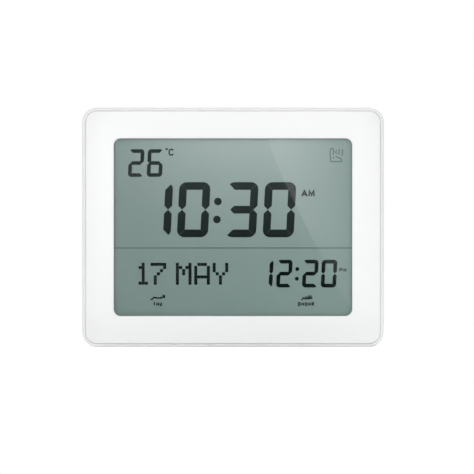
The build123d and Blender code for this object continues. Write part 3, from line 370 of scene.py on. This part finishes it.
def prisms(name, outlines, y_foot, rise, look, body="clock_case"):
    """Thin flat pieces that stand on depth y_foot and rise by so many millimetres, towards the
    viewer where rise is negative and towards the back where it is positive."""
    form = bmesh.new()
    for outline in outlines:
        feet = [form.verts.new((mid_x + x * MM, y_foot, mid_z + v * MM)) for x, v in outline]
        tops = [form.verts.new(foot.co + Vector((0, rise * MM, 0))) for foot in feet]
        form.faces.new(feet)
        form.faces.new(tops[::-1])
        for i in range(len(outline)):
            form.faces.new((feet[i - 1], feet[i], tops[i], tops[i - 1]))
    bmesh.ops.recalc_face_normals(form, faces=form.faces)
    mesh = bpy.data.meshes.new(name)
    form.to_mesh(mesh)
    form.free()
    piece = new_piece(name, mesh, look)
    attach(piece, body)


# ---------------------------------------------------------------- the looks' numbers
# Moulded plastics: colour, its uneven shade, roughness, grain in cells to the metre and the
# grain's depth in metres. The front frame's also says how far its roughness varies.
PLASTICS = {
    "white_shell": ((0.88, 0.885, 0.885), (0.868, 0.873, 0.872), 0.3, 1800, 0.000001, 0.01),
    "white_film": ((0.88, 0.88, 0.87), (0.9, 0.9, 0.9), 0.7, 3000, 0.000004),
    "lamp_resin": ((0.9, 0.86, 0.6), (0.95, 0.93, 0.8), 0.3, 900, 0.000004),
    "holder_plastic": ((0.74, 0.74, 0.71), (0.78, 0.78, 0.75), 0.55, 1800, 0.00002),
    "black_resin": ((0.018, 0.018, 0.019), (0.026, 0.026, 0.027), 0.45, 1400, 0.00001),
    "tan_ceramic": ((0.45, 0.32, 0.18), (0.5, 0.37, 0.22), 0.5, 2000, 0.000006),
    "natural_nylon": ((0.78, 0.76, 0.66), (0.82, 0.8, 0.72), 0.5, 1500, 0.00001),
    "switch_black": ((0.022, 0.022, 0.023), (0.03, 0.03, 0.031), 0.5, 2200, 0.00001),
    "button_grey": ((0.55, 0.56, 0.58), (0.52, 0.53, 0.55), 0.48, 1900, 0.00002),
}
# The rear case's skin, which is coarser than the front frame's
TEXTURED_SHELL = ((0.87, 0.875, 0.875), (0.85, 0.857, 0.855), 0.46, 1500, 0.00003)
# Plated metals: colour, the scratches' shade, roughness and scratches to the metre
METALS = {
    "plated_steel": ((0.66, 0.66, 0.65), (0.56, 0.56, 0.55), 0.3, 1500),
    "tinned_metal": ((0.74, 0.73, 0.7), (0.64, 0.63, 0.6), 0.28, 1200),
    "speaker_steel": ((0.4, 0.4, 0.41), (0.33, 0.33, 0.34), 0.42, 700),
}
SCRATCH_STRETCH = (0.15, 1, 1)  # makes them long along X

ACRYLIC_IOR = 1.49
GUIDE_IOR = 1.5
GLASS_IOR = 1.52

# The board's tracks are rows of a brick pattern, with four to the metre for each unit of its scale.
# Stripes come from a wave pattern, with about three to the metre for each unit.
BOARD_SCALE = 90
BOARD_GAP = 0.03
CONTACT_SCALE = 900
RIBBON_SCALE = 125
FOAM_CELLS = 2600  # to the metre

# Along a cell from its flat end, in shares of its length: the pale band on its wrap, and where the
# wrap starts and stops
CELL_COUNT = 3
CELL_BAND = (0.78, 0.93)
CELL_WRAP = (0.015, 0.962)


# ---------------------------------------------------------------- looks
def add_node(tree, kind, *sources, **settings):
    """A new node with its first inputs linked to the sources, or set where they are numbers."""
    node = tree.nodes.new(kind)
    for name, value in settings.items():
        setattr(node, name, value)
    for i, source in enumerate(sources):
        if isinstance(source, bpy.types.NodeSocket):
            tree.links.new(source, node.inputs[i])
        elif source is not None:
            node.inputs[i].default_value = source
    return node


def maths(tree, operation, *values):
    """What a Math node makes of the values."""
    return add_node(tree, "ShaderNodeMath", *values, operation=operation).outputs[0]


class Look:
    """A material whose Principled shader is driven by patterns in the object's own coordinates."""

    def __init__(self, name, colour, roughness, metallic=0.0, specular=0.5):
        self.material = bpy.data.materials.new(name)
        self.material.use_nodes = True
        self.tree = self.material.node_tree
        self.surface = self.tree.nodes["Material Output"].inputs["Surface"]
        self.shader = self.tree.nodes["Principled BSDF"]
        self.shader.inputs["Base Color"].default_value = (*colour, 1)
        self.shader.inputs["Roughness"].default_value = roughness
        self.shader.inputs["Metallic"].default_value = metallic
        self.shader.inputs["Specular IOR Level"].default_value = specular
        self.place = self.node("ShaderNodeTexCoord").outputs["Object"]

    def node(self, kind, *sources, **settings):
        return add_node(self.tree, kind, *sources, **settings)

    def maths(self, operation, *values):
        return maths(self.tree, operation, *values)

    def noise(self, scale, detail=3.0, stretch=(1, 1, 1)):
        """Noise between 0 and 1, with so many cells to the metre."""
        spread = self.node("ShaderNodeMapping", self.place)
        spread.inputs["Scale"].default_value = stretch
        noise = self.node("ShaderNodeTexNoise", spread.outputs[0])
        noise.inputs["Scale"].default_value = scale
        noise.inputs["Detail"].default_value = detail
        return noise.outputs["Fac"]

    def waves(self, scale):
        """Parallel stripes between 0 and 1, side by side along X."""
        return self.node("ShaderNodeTexWave", self.place, scale).outputs["Fac"]

    def cells(self, scale):
        """Distance to the nearest of scattered points, with so many cells to the metre."""
        cells = self.node("ShaderNodeTexVoronoi", self.place)
        cells.inputs["Scale"].default_value = scale
        return cells.outputs["Distance"]

    def axis(self, name):
        """One coordinate of the place, in metres."""
        return self.node("ShaderNodeSeparateXYZ", self.place).outputs[name]

    def ranged(self, factor, low, high, start=0.3, end=0.7):
        """A factor stretched from start..end to low..high."""
        return self.node("ShaderNodeMapRange", factor, start, end, low, high).outputs[0]

    def between(self, value, low, high):
        """1 where the value lies between the two levels and 0 elsewhere."""
        above = self.maths("GREATER_THAN", value, low)
        below = self.maths("LESS_THAN", value, high)
        return self.maths("MULTIPLY", above, below)

    def tint(self, factor, colour_a, colour_b):
        """The base colour runs from one colour to the other with the factor."""
        mix = self.node("ShaderNodeMix", factor, data_type="RGBA")
        for socket, colour in ((mix.inputs[6], colour_a), (mix.inputs[7], colour_b)):
            if isinstance(colour, bpy.types.NodeSocket):
                self.tree.links.new(colour, socket)
            else:
                socket.default_value = (*colour, 1)
        self.tree.links.new(mix.outputs[2], self.shader.inputs["Base Color"])
        return mix.outputs[2]

    def rough(self, factor, low, high):
        """The roughness runs from low to high with the factor."""
        self.tree.links.new(self.ranged(factor, low, high), self.shader.inputs["Roughness"])

    def bump(self, height, distance):
        """Relief of the given height in metres."""
        bump = self.node("ShaderNodeBump")
        bump.inputs["Distance"].default_value = distance
        self.tree.links.new(height, bump.inputs["Height"])
        self.tree.links.new(bump.outputs[0], self.shader.inputs["Normal"])

    def clear(self, ior):
        """Clear all through. Lamps light what lies behind it, and their light isn't bent."""
        self.shader.inputs["Transmission Weight"].default_value = 1.0
        self.shader.inputs["IOR"].default_value = ior
        path = self.node("ShaderNodeLightPath").outputs
        either = self.maths("MAXIMUM", path["Is Shadow Ray"], path["Is Diffuse Ray"])
        open_air = self.node("ShaderNodeBsdfTransparent").outputs[0]
        mix = self.node("ShaderNodeMixShader", either, self.shader.outputs[0], open_air)
        self.tree.links.new(mix.outputs[0], self.surface)


def plastic(name, colour, shade, roughness, grain, depth, unevenness=0.045):
    """Moulded plastic: faint uneven colour, fine grain of that many cells to the metre."""
    look = Look(name, colour, roughness)
    look.tint(look.ranged(look.noise(28, 2.0), 0, 1), colour, shade)
    look.rough(look.noise(grain / 6), roughness - unevenness, roughness + unevenness)
    look.bump(look.noise(grain, 2.0), depth)
    return look.material


def metal(name, colour, shade, roughness, scale):
    """Plated metal with fine scratches along X."""
    look = Look(name, colour, roughness, metallic=1.0)
    scratches = look.noise(scale, 4.0, SCRATCH_STRETCH)
    look.tint(look.ranged(scratches, 0, 1), colour, shade)
    look.rough(scratches, roughness - 0.08, roughness + 0.12)
    look.bump(scratches, 0.000004)
    return look.material


def clear_lens():
    """Clear acrylic, faintly green where it is seen edge on."""
    look = Look("clear_lens", (1, 1, 1), 0.012)
    rim = look.node("ShaderNodeLayerWeight", 0.25).outputs["Facing"]
    look.tint(look.ranged(rim, 0, 1, 0.2, 1.0), (1, 1, 1), (0.93, 0.97, 0.96))
    look.clear(ACRYLIC_IOR)
    return look.material


def display_glass():
    look = Look("display_glass", (0.9, 0.96, 0.94), 0.02)
    look.bump(look.noise(120), 0.000002)
    look.clear(GLASS_IOR)
    return look.material


def clear_acrylic():
    """The light guide, with its fine dimples."""
    look = Look("clear_acrylic", (0.95, 0.98, 0.97), 0.06)
    look.bump(look.cells(900), 0.00002)
    look.clear(GUIDE_IOR)
    return look.material


def highlight_across(look):
    """1 in the middle of the window, falling to the painted highlight's share at the sides at its
    left and right.
    """
    half_width = window_width * MM / 2
    aside = look.ranged(look.axis("X"), -1, 1, mid_x - half_width, mid_x + half_width)
    return look.ranged(look.maths("MULTIPLY", aside, aside), 1.0, HIGHLIGHT_AT_SIDES, 0.0, 1.0)


def display_ground():
    """Grey-green reflective film, with a painted highlight towards the middle of its top, painted
    shade that darkens its left, and a painted shadow of the frame along the window's edge."""
    look = Look("display_ground", (0.23, 0.33, 0.31), 0.06)
    half_width, half_height = window_width * MM / 2, window_height * MM / 2
    place_x, place_z = look.axis("X"), look.axis("Z")
    # A painted highlight: the film paler towards the top, most in the middle of the window
    rise = look.ranged(place_z, 0, 1, mid_z - half_height, mid_z + half_height)
    rise = look.maths("POWER", rise, HIGHLIGHT_RISE)
    painted_highlight = look.maths("MULTIPLY", rise, highlight_across(look))
    # Painted shade: the film darker towards its left, by its colours at the left and right
    across = look.ranged(place_x, 0, 1, mid_x - half_width, mid_x + half_width)
    ground = look.tint(painted_highlight, look.tint(across, *GROUND_DARK), look.tint(across, *GROUND_HIGHLIGHT))
    mottle = look.ranged(look.noise(45, 2.0), 0, MOTTLE_SHARE)
    ground = look.tint(mottle, ground, MOTTLE_COLOUR)
    # A painted shadow of the frame: the film darker along the window's edge
    edge_shadow = []
    for place, middle, half in ((place_x, mid_x, half_width), (place_z, mid_z, half_height)):
        offset = look.maths("ABSOLUTE", look.maths("SUBTRACT", place, middle))
        edge_shadow.append(look.ranged(offset, 0, EDGE_SHADOW_SHARE, half - EDGE_SHADOW_WIDTH * MM, half))
    look.tint(look.maths("MAXIMUM", *edge_shadow), ground, EDGE_SHADOW_COLOUR)
    look.bump(look.noise(5200, 1.0), 0.000001)
    return look.material


def display_ink():
    """Nearly black, and greyer towards the top: a painted highlight, like the film's."""
    look = Look("display_ink", INK_LOW, 0.08)
    # A painted highlight: the ink greyer towards the top, most in the middle
    rise = look.ranged(look.axis("Z"), 0, 1, *(mid_z + v * MM for v in INK_HIGHLIGHT_HEIGHTS))
    painted_highlight = look.maths("MULTIPLY", rise, highlight_across(look))
    ink = look.tint(painted_highlight, INK_LOW, INK_HIGHLIT)
    look.tint(look.ranged(look.noise(90), 0, INK_MOTTLE_SHARE), ink, INK_MOTTLE)
    return look.material


def faint_ink():
    """What the display shows only faintly: its icon and the line across it."""
    look = Look("faint_ink", (0.12, 0.17, 0.16), 0.08)
    look.tint(look.ranged(look.noise(90), 0, 1), (0.115, 0.165, 0.155), (0.13, 0.18, 0.17))
    return look.material


def dark_film():
    look = Look("dark_film", (0.05, 0.055, 0.05), 0.3)
    look.tint(look.ranged(look.noise(60), 0, 1), (0.05, 0.055, 0.05), (0.07, 0.075, 0.07))
    return look.material


def black_foam():
    """Foam with open cells, painted darker in their pits as shade."""
    look = Look("black_foam", (0.02, 0.02, 0.021), 0.9, specular=0.2)
    pores = look.cells(FOAM_CELLS)
    shade = look.ranged(pores, 0, 1, 0.1, 0.5)
    # Painted shade: darker in the pits of the cells, where the relief sinks
    look.tint(shade, (0.012, 0.012, 0.013), (0.035, 0.035, 0.036))
    look.bump(pores, 0.00008)
    return look.material


def contact_rubber():
    """Layered rubber with its fine conducting stripes."""
    look = Look("contact_rubber", (0.2, 0.22, 0.24), 0.6)
    stripes = look.waves(CONTACT_SCALE)
    look.tint(stripes, (0.03, 0.03, 0.03), (0.55, 0.42, 0.4))
    look.bump(stripes, 0.00001)
    return look.material


def circuit_board():
    """Green mask over copper: paler over the tracks, whose edges show in its relief."""
    look = Look("circuit_board", (0.03, 0.16, 0.06), 0.35)
    runs = look.node("ShaderNodeTexBrick", look.place)
    runs.inputs["Color1"].default_value = (1, 1, 1, 1)
    runs.inputs["Color2"].default_value = (0.8, 0.8, 0.8, 1)
    runs.inputs["Mortar"].default_value = (0, 0, 0, 1)
    runs.inputs["Scale"].default_value = BOARD_SCALE
    runs.inputs["Mortar Size"].default_value = BOARD_GAP
    look.tint(runs.outputs["Color"], (0.02, 0.11, 0.04), (0.035, 0.2, 0.075))
    look.rough(look.noise(1200), 0.3, 0.42)
    look.bump(runs.outputs["Fac"], 0.00003)
    return look.material


def ferrite():
    """Sintered magnet, with its coarse dark grain."""
    look = Look("ferrite", (0.05, 0.05, 0.052), 0.62)
    grain = look.ranged(look.noise(500, 5.0), 0, 1)
    look.tint(grain, (0.035, 0.035, 0.037), (0.075, 0.075, 0.078))
    look.bump(look.noise(900, 5.0), 0.00006)
    return look.material


def speaker_paper():
    """Pressed paper pulp, with its fibres."""
    look = Look("speaker_paper", (0.035, 0.034, 0.032), 0.85, specular=0.25)
    fibres = look.noise(700, 6.0, (1, 1, 0.25))
    look.tint(look.ranged(fibres, 0, 1), (0.022, 0.021, 0.02), (0.06, 0.057, 0.053))
    look.bump(fibres, 0.00008)
    return look.material


def wire_cover():
    """The wires' red covers."""
    look = Look("wire_cover", (0.4, 0.02, 0.02), 0.4)
    look.tint(look.ranged(look.noise(250), 0, 1), (0.4, 0.018, 0.016), (0.46, 0.03, 0.025))
    look.bump(look.noise(2500), 0.000006)
    return look.material


def ribbon_cover():
    """Flat cable: grey ribs, one for each of its wires, with painted shade in the grooves between
    them.
    """
    look = Look("ribbon_cover", (0.5, 0.5, 0.5), 0.45)
    ribs = look.waves(RIBBON_SCALE)
    # Painted shade: darker in the grooves between the ribs
    look.tint(ribs, (0.42, 0.42, 0.43), (0.58, 0.58, 0.59))
    look.bump(ribs, 0.0002)
    return look.material


def cell_wrap(number):
    """A plain battery wrap, with bare steel at both ends and a band at the positive end. Odd cells
    point to the right and even ones to the left."""
    low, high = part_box(f"cell_{number}")
    base, tip = (low.x, high.x) if number % 2 else (high.x, low.x)
    look = Look(f"cell_wrap_{number}", (0.05, 0.09, 0.16), 0.32)
    along = look.ranged(look.axis("X"), 0, 1, base, tip)
    wear = look.ranged(look.noise(220), 0, 1)
    wrap = look.tint(wear, (0.04, 0.075, 0.14), (0.055, 0.095, 0.165))
    banded = look.tint(look.between(along, *CELL_BAND), wrap, (0.62, 0.63, 0.64))
    bare = look.maths("SUBTRACT", 1.0, look.between(along, *CELL_WRAP))
    look.tint(bare, banded, (0.6, 0.59, 0.57))
    look.tree.links.new(bare, look.shader.inputs["Metallic"])
    look.rough(look.noise(900), 0.24, 0.4)
    look.bump(look.noise(160), 0.00002)
    return look.material


# ---------------------------------------------------------------- looks of the CAD nodes
SLOT_LOOKS = {
    "clear_lens": clear_lens(),
    "black_foam": black_foam(),
    "polariser": dark_film(),
    "display_glass": display_glass(),
    "clear_acrylic": clear_acrylic(),
    "contact_rubber": contact_rubber(),
    "circuit_board": circuit_board(),
    "ferrite": ferrite(),
    "speaker_paper": speaker_paper(),
    "wire_cover": wire_cover(),
    "ribbon_cover": ribbon_cover(),
}
SLOT_LOOKS.update({name: plastic(name, *numbers) for name, numbers in PLASTICS.items()})
SLOT_LOOKS.update({name: metal(name, *numbers) for name, numbers in METALS.items()})
textured_shell = plastic("textured_shell", *TEXTURED_SHELL)
NODE_LOOKS = dict.fromkeys(("rear_case", "stand", "battery_door"), textured_shell)
NODE_LOOKS["front_polariser"] = display_ground()
NODE_LOOKS.update({f"cell_{i + 1}": cell_wrap(i + 1) for i in range(CELL_COUNT)})
for name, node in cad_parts.items():
    slot = node.data.materials[0].name
    node.data.materials[0] = NODE_LOOKS.get(name) or SLOT_LOOKS[slot]

# ---------------------------------------------------------------- the display's drawing
time_dots = [disc(x, v, TIME_DOT_RADIUS) for x, v in TIME_DOTS]
prayer_dots = [disc(x, v, PRAYER_DOT_RADIUS) for x, v in PRAYER_DOTS]
dark_drawings = {
    "time_digits": digits(TIME_DIGITS, TIME_FOOT, TIME_FACE) + time_dots,
    "prayer_digits": digits(PRAYER_DIGITS, PRAYER_FOOT, SMALL_FACE) + prayer_dots,
    "temperature_digits": digits(TEMPERATURE_DIGITS, TEMPERATURE_FOOT, SMALL_FACE),
    "degree_ring": ring(*DEGREE_RING),
    "date_dots": dot_matrix(DATE, DATE_LEFT, DATE_TOP),
    "weekday_script": strokes(WEEKDAY_SCRIPT, SCRIPT_STROKE),
    "prayer_script": strokes(PRAYER_SCRIPT, SCRIPT_STROKE),
}
dark_drawings.update({name: lettering(*form) for name, form in LABELS.items()})
faint_drawings = {
    "call_icon": [ribbon(line, ICON_STROKE) for line in ICON_LINES],
    "divider_line": [rectangle(0, DIVIDER_V, window_width + LENS_OVERLAP, DIVIDER_HEIGHT)],
}
for drawings, ink in ((dark_drawings, display_ink()), (faint_drawings, faint_ink())):
    for name, outlines in drawings.items():
        prisms(name, outlines, film_front, -INK_THICKNESS, ink)

# ---------------------------------------------------------------- the marks on the back
mark_lines = dict(MARK_LINES)
mark_lines["azan"] = [arc(0, 0, radius, -WAVE_SPREAD, WAVE_SPREAD) for radius in WAVE_RADII]
mark_lines["light"] = [
    [on_circle(0, 0, reach, 360 * i / SUN_RAY_COUNT) for reach in SUN_RAY_REACH]
    for i in range(SUN_RAY_COUNT)
]
panel_floor = case_high.y - (PANEL_DEPTH + MARK_ROOT) * MM
for name, (low, high) in button_boxes.items():
    forms = list(MARK_SHAPES.get(name, []))
    if name in MARK_RINGS:
        forms += ring(0, 0, MARK_RINGS[name], MARK_STROKE)
    forms += [ribbon(line, MARK_STROKE) for line in mark_lines.get(name, [])]
    middle_x = ((low.x + high.x) / 2 - mid_x) / MM
    middle_v = ((low.z + high.z) / 2 - mid_z) / MM + MARK_LIFT
    outlines = [[(middle_x - x, middle_v + v) for x, v in outline] for outline in forms]
    rise = MARK_RISE + MARK_ROOT
    prisms(f"{name}_mark", outlines, panel_floor, rise, SLOT_LOOKS["button_grey"])

# An arrow in the thumb scoop points to the battery door's latch
arrow_x = ((door_low.x + door_high.x) / 2 - mid_x) / MM
arrow_tip = (door_high.z - mid_z) / MM + ARROW_LIFT
arrow_top = arrow_tip + ARROW_HEIGHT
arrow = [
    (arrow_x - ARROW_WIDTH / 2, arrow_top),
    (arrow_x, arrow_tip),
    (arrow_x + ARROW_WIDTH / 2, arrow_top),
]
arrow_foot = case_high.y - ARROW_DEPTHS[0] * MM
arrow_rise = ARROW_DEPTHS[0] - ARROW_DEPTHS[1]
prisms("latch_arrow", [arrow], arrow_foot, arrow_rise, textured_shell)

# ---------------------------------------------------------------- floor and room
FLOOR_RADIUS = 0.4
FLOOR_CORNERS = 64
FLOOR_SHARE = 0.45  # of plain white in what the camera sees of the floor
FLOOR_WHITE = 1.6  # that white's strength: outside the object's shadow the floor is white
MIRRORED_FADE = (-0.1, 0.6)  # how far to the front mirrors see the room fade from white to dark
AMBIENT = 0.5  # the even soft light's strength


def mirrored_light(tree, heading):
    """What mirrors see of the room: white behind and beside the object, but dark where the
    photographer stands, so that the window mirrors nothing pale."""
    forward = add_node(tree, "ShaderNodeVectorMath", heading, (0, -1, 0), operation="DOT_PRODUCT")
    fade = add_node(tree, "ShaderNodeMapRange", forward.outputs["Value"], *MIRRORED_FADE, 1.0, 0.0)
    return fade.outputs[0]


def white_floor():
    """A pale floor. The camera sees it partly as plain white, so that the object's shadow is faint,
    and mirrors see it as they see the room beyond it."""
    look = Look("floor_white", (0.95, 0.95, 0.95), 0.9)
    look.bump(look.noise(300, 2.0), 0.00001)
    path = look.node("ShaderNodeLightPath").outputs
    seen = look.maths("MAXIMUM", path["Is Camera Ray"], path["Is Transmission Ray"])
    share = look.maths("MULTIPLY", seen, FLOOR_SHARE)
    white = look.node("ShaderNodeEmission", None, FLOOR_WHITE).outputs[0]
    pale = look.node("ShaderNodeMixShader", share, look.shader.outputs[0], white).outputs[0]
    heading = look.node("ShaderNodeVectorMath", look.place, operation="NORMALIZE").outputs[0]
    room = look.node("ShaderNodeEmission", None, mirrored_light(look.tree, heading)).outputs[0]
    mix = look.node("ShaderNodeMixShader", path["Is Glossy Ray"], pale, room)
    look.tree.links.new(mix.outputs[0], look.surface)
    return look.material


def room_light():
    """White for the camera, what mirrors see of the room for glass and mirrors, and an even soft
    light for the rest."""
    world = bpy.data.worlds.new("room")
    bpy.context.scene.world = world
    world.use_nodes = True
    tree = world.node_tree
    heading = add_node(tree, "ShaderNodeTexCoord").outputs["Generated"]
    path = add_node(tree, "ShaderNodeLightPath").outputs
    bounced = maths(tree, "MAXIMUM", path["Is Glossy Ray"], path["Is Transmission Ray"])
    mirrored = mirrored_light(tree, heading)
    level = add_node(tree, "ShaderNodeMix", bounced, None, AMBIENT, mirrored).outputs[0]
    level = add_node(tree, "ShaderNodeMix", path["Is Camera Ray"], None, level, 1.0).outputs[0]
    background = tree.nodes["Background"]
    background.inputs["Color"].default_value = (1, 1, 1, 1)
    tree.links.new(level, background.inputs["Strength"])


floor_rim = [(x, y, 0) for x, y in disc(0, 0, FLOOR_RADIUS, FLOOR_CORNERS)]
floor = flat_piece("floor", floor_rim, white_floor())
room_light()

# ---------------------------------------------------------------- lamps
# Three strips stand round the camera, just outside what the flat window mirrors, and face the back.
# For each: its place across and up from the case's middle, its size and its watts.
STRIP_Y = -1.6
STRIPS = {
    "strip_above": ((0.0, 0.5), (0.8, 0.3), 3.7),
    "strip_left": ((-0.275, 0.08), (0.17, 0.34), 2.65),
    "strip_right": ((0.275, 0.08), (0.17, 0.34), 2.15),
}
# Softer lamps aim at the case's middle: place, size and watts
FILLS = {
    "high_fill": ((-0.2, -1.3, 1.05), (0.8, 0.8), 2.6),
    "left_fill": ((-0.85, -1.35, 0.26), (0.4, 0.5), 1.1),
    "right_fill": ((0.85, -1.35, 0.26), (0.4, 0.5), 0.9),
    "back_key": ((0.4, 0.85, 1.05), (0.25, 0.25), 5.3),
    "back_fill": ((-1.0, 1.5, 0.45), (0.7, 0.7), 2.5),
}


def softbox(name, place, size, watts, aim):
    """A rectangular lamp that faces the aim, its second size upright."""
    lamp = bpy.data.lights.new(name, "AREA")
    lamp.shape = "RECTANGLE"
    lamp.size, lamp.size_y = size
    lamp.energy = watts
    holder = bpy.data.objects.new(name, lamp)
    holder.location = place
    holder.rotation_euler = (aim - Vector(place)).to_track_quat("-Z", "Y").to_euler()
    bpy.context.scene.collection.objects.link(holder)


for name, ((across, up), size, watts) in STRIPS.items():
    place = case_centre + Vector((across, STRIP_Y, up))
    softbox(name, place, size, watts, Vector((place.x, 0, place.z)))
for name, (place, size, watts) in FILLS.items():
    softbox(name, place, size, watts, case_centre)

# ---------------------------------------------------------------- camera
CAMERA_DISTANCE = 1.65
SENSOR_WIDTH = 36.0  # millimetres
FRAME_SPAN = 0.3301  # metres across the picture, at the rear case's front edge
PICTURE_SHIFT = (0.0028, -0.0068)  # metres right and up, from the case's middle to the picture's

camera_data = bpy.data.cameras.new("camera")
camera_data.sensor_width = SENSOR_WIDTH
camera_data.lens = SENSOR_WIDTH * (CAMERA_DISTANCE + case_low.y) / FRAME_SPAN
camera = bpy.data.objects.new("camera", camera_data)
camera.location = case_centre + Vector((PICTURE_SHIFT[0], -CAMERA_DISTANCE, PICTURE_SHIFT[1]))
camera.rotation_euler = (radians(90), 0, 0)
bpy.context.scene.collection.objects.link(camera)
bpy.context.scene.camera = camera

# ---------------------------------------------------------------- the pale band on the window
# A pale card in the camera's plane shows in the window as a slanting band, with a crisp left edge.
# It is laid out by where its reflection crosses the window, in millimetres from the case's middle.
GLARE_EDGE = [(23.7, 61.5), (36.2, 30.8), (54.3, -6.1), (76.6, -47.2), (84.8, -62.5)]
GLARE_LEAN = 0.487  # how far the band's fade runs to the right for each millimetre down
GLARE_FADE = (52.0, 96.0)  # from full to faint, measured to the right along the middle height
GLARE_LEVELS = (0.62, 0.05)
GLARE_LOW = (-28.0, 0.0, 0.4)  # the height where it is fainter, where it is full, and how faint


def card_point(x, v):
    """Where the camera sees the card mirrored at a point of the window."""
    mirrored = Vector((2 * (mid_x + x * MM), camera.location.y, 2 * (mid_z + v * MM)))
    return mirrored - Vector((camera.location.x, 0, camera.location.z))


def glare_look():
    """Light that fades to the right of the card's slanting edge, and in its lower part."""
    material = bpy.data.materials.new("glare_light")
    material.use_nodes = True
    tree = material.node_tree
    tree.nodes.remove(tree.nodes["Principled BSDF"])
    place = add_node(tree, "ShaderNodeTexCoord").outputs["Object"]
    lean = Vector((1, 0, GLARE_LEAN))
    across = add_node(tree, "ShaderNodeVectorMath", place, lean, operation="DOT_PRODUCT")
    edges = [card_point(x, 0).dot(lean) for x in GLARE_FADE]
    fade = add_node(tree, "ShaderNodeMapRange", across.outputs["Value"], *edges, *GLARE_LEVELS)
    height = add_node(tree, "ShaderNodeSeparateXYZ", place).outputs["Z"]
    foot, full, share = GLARE_LOW
    rises = [card_point(0, v).z for v in (foot, full)]
    lower = add_node(tree, "ShaderNodeMapRange", height, *rises, share, 1.0)
    strength = maths(tree, "MULTIPLY", fade.outputs[0], lower.outputs[0])
    light = add_node(tree, "ShaderNodeEmission", None, strength)
    tree.links.new(light.outputs[0], tree.nodes["Material Output"].inputs["Surface"])
    return material


card_points = [card_point(x, v) for x, v in GLARE_EDGE]
card_points += [card_point(GLARE_FADE[1], v) for v in (GLARE_EDGE[-1][1], GLARE_EDGE[0][1])]
glare_card = flat_piece("glare_card", card_points, glare_look())
glare_card.visible_camera = glare_card.visible_diffuse = glare_card.visible_shadow = False

bpy.context.scene.view_settings.view_transform = "Standard"
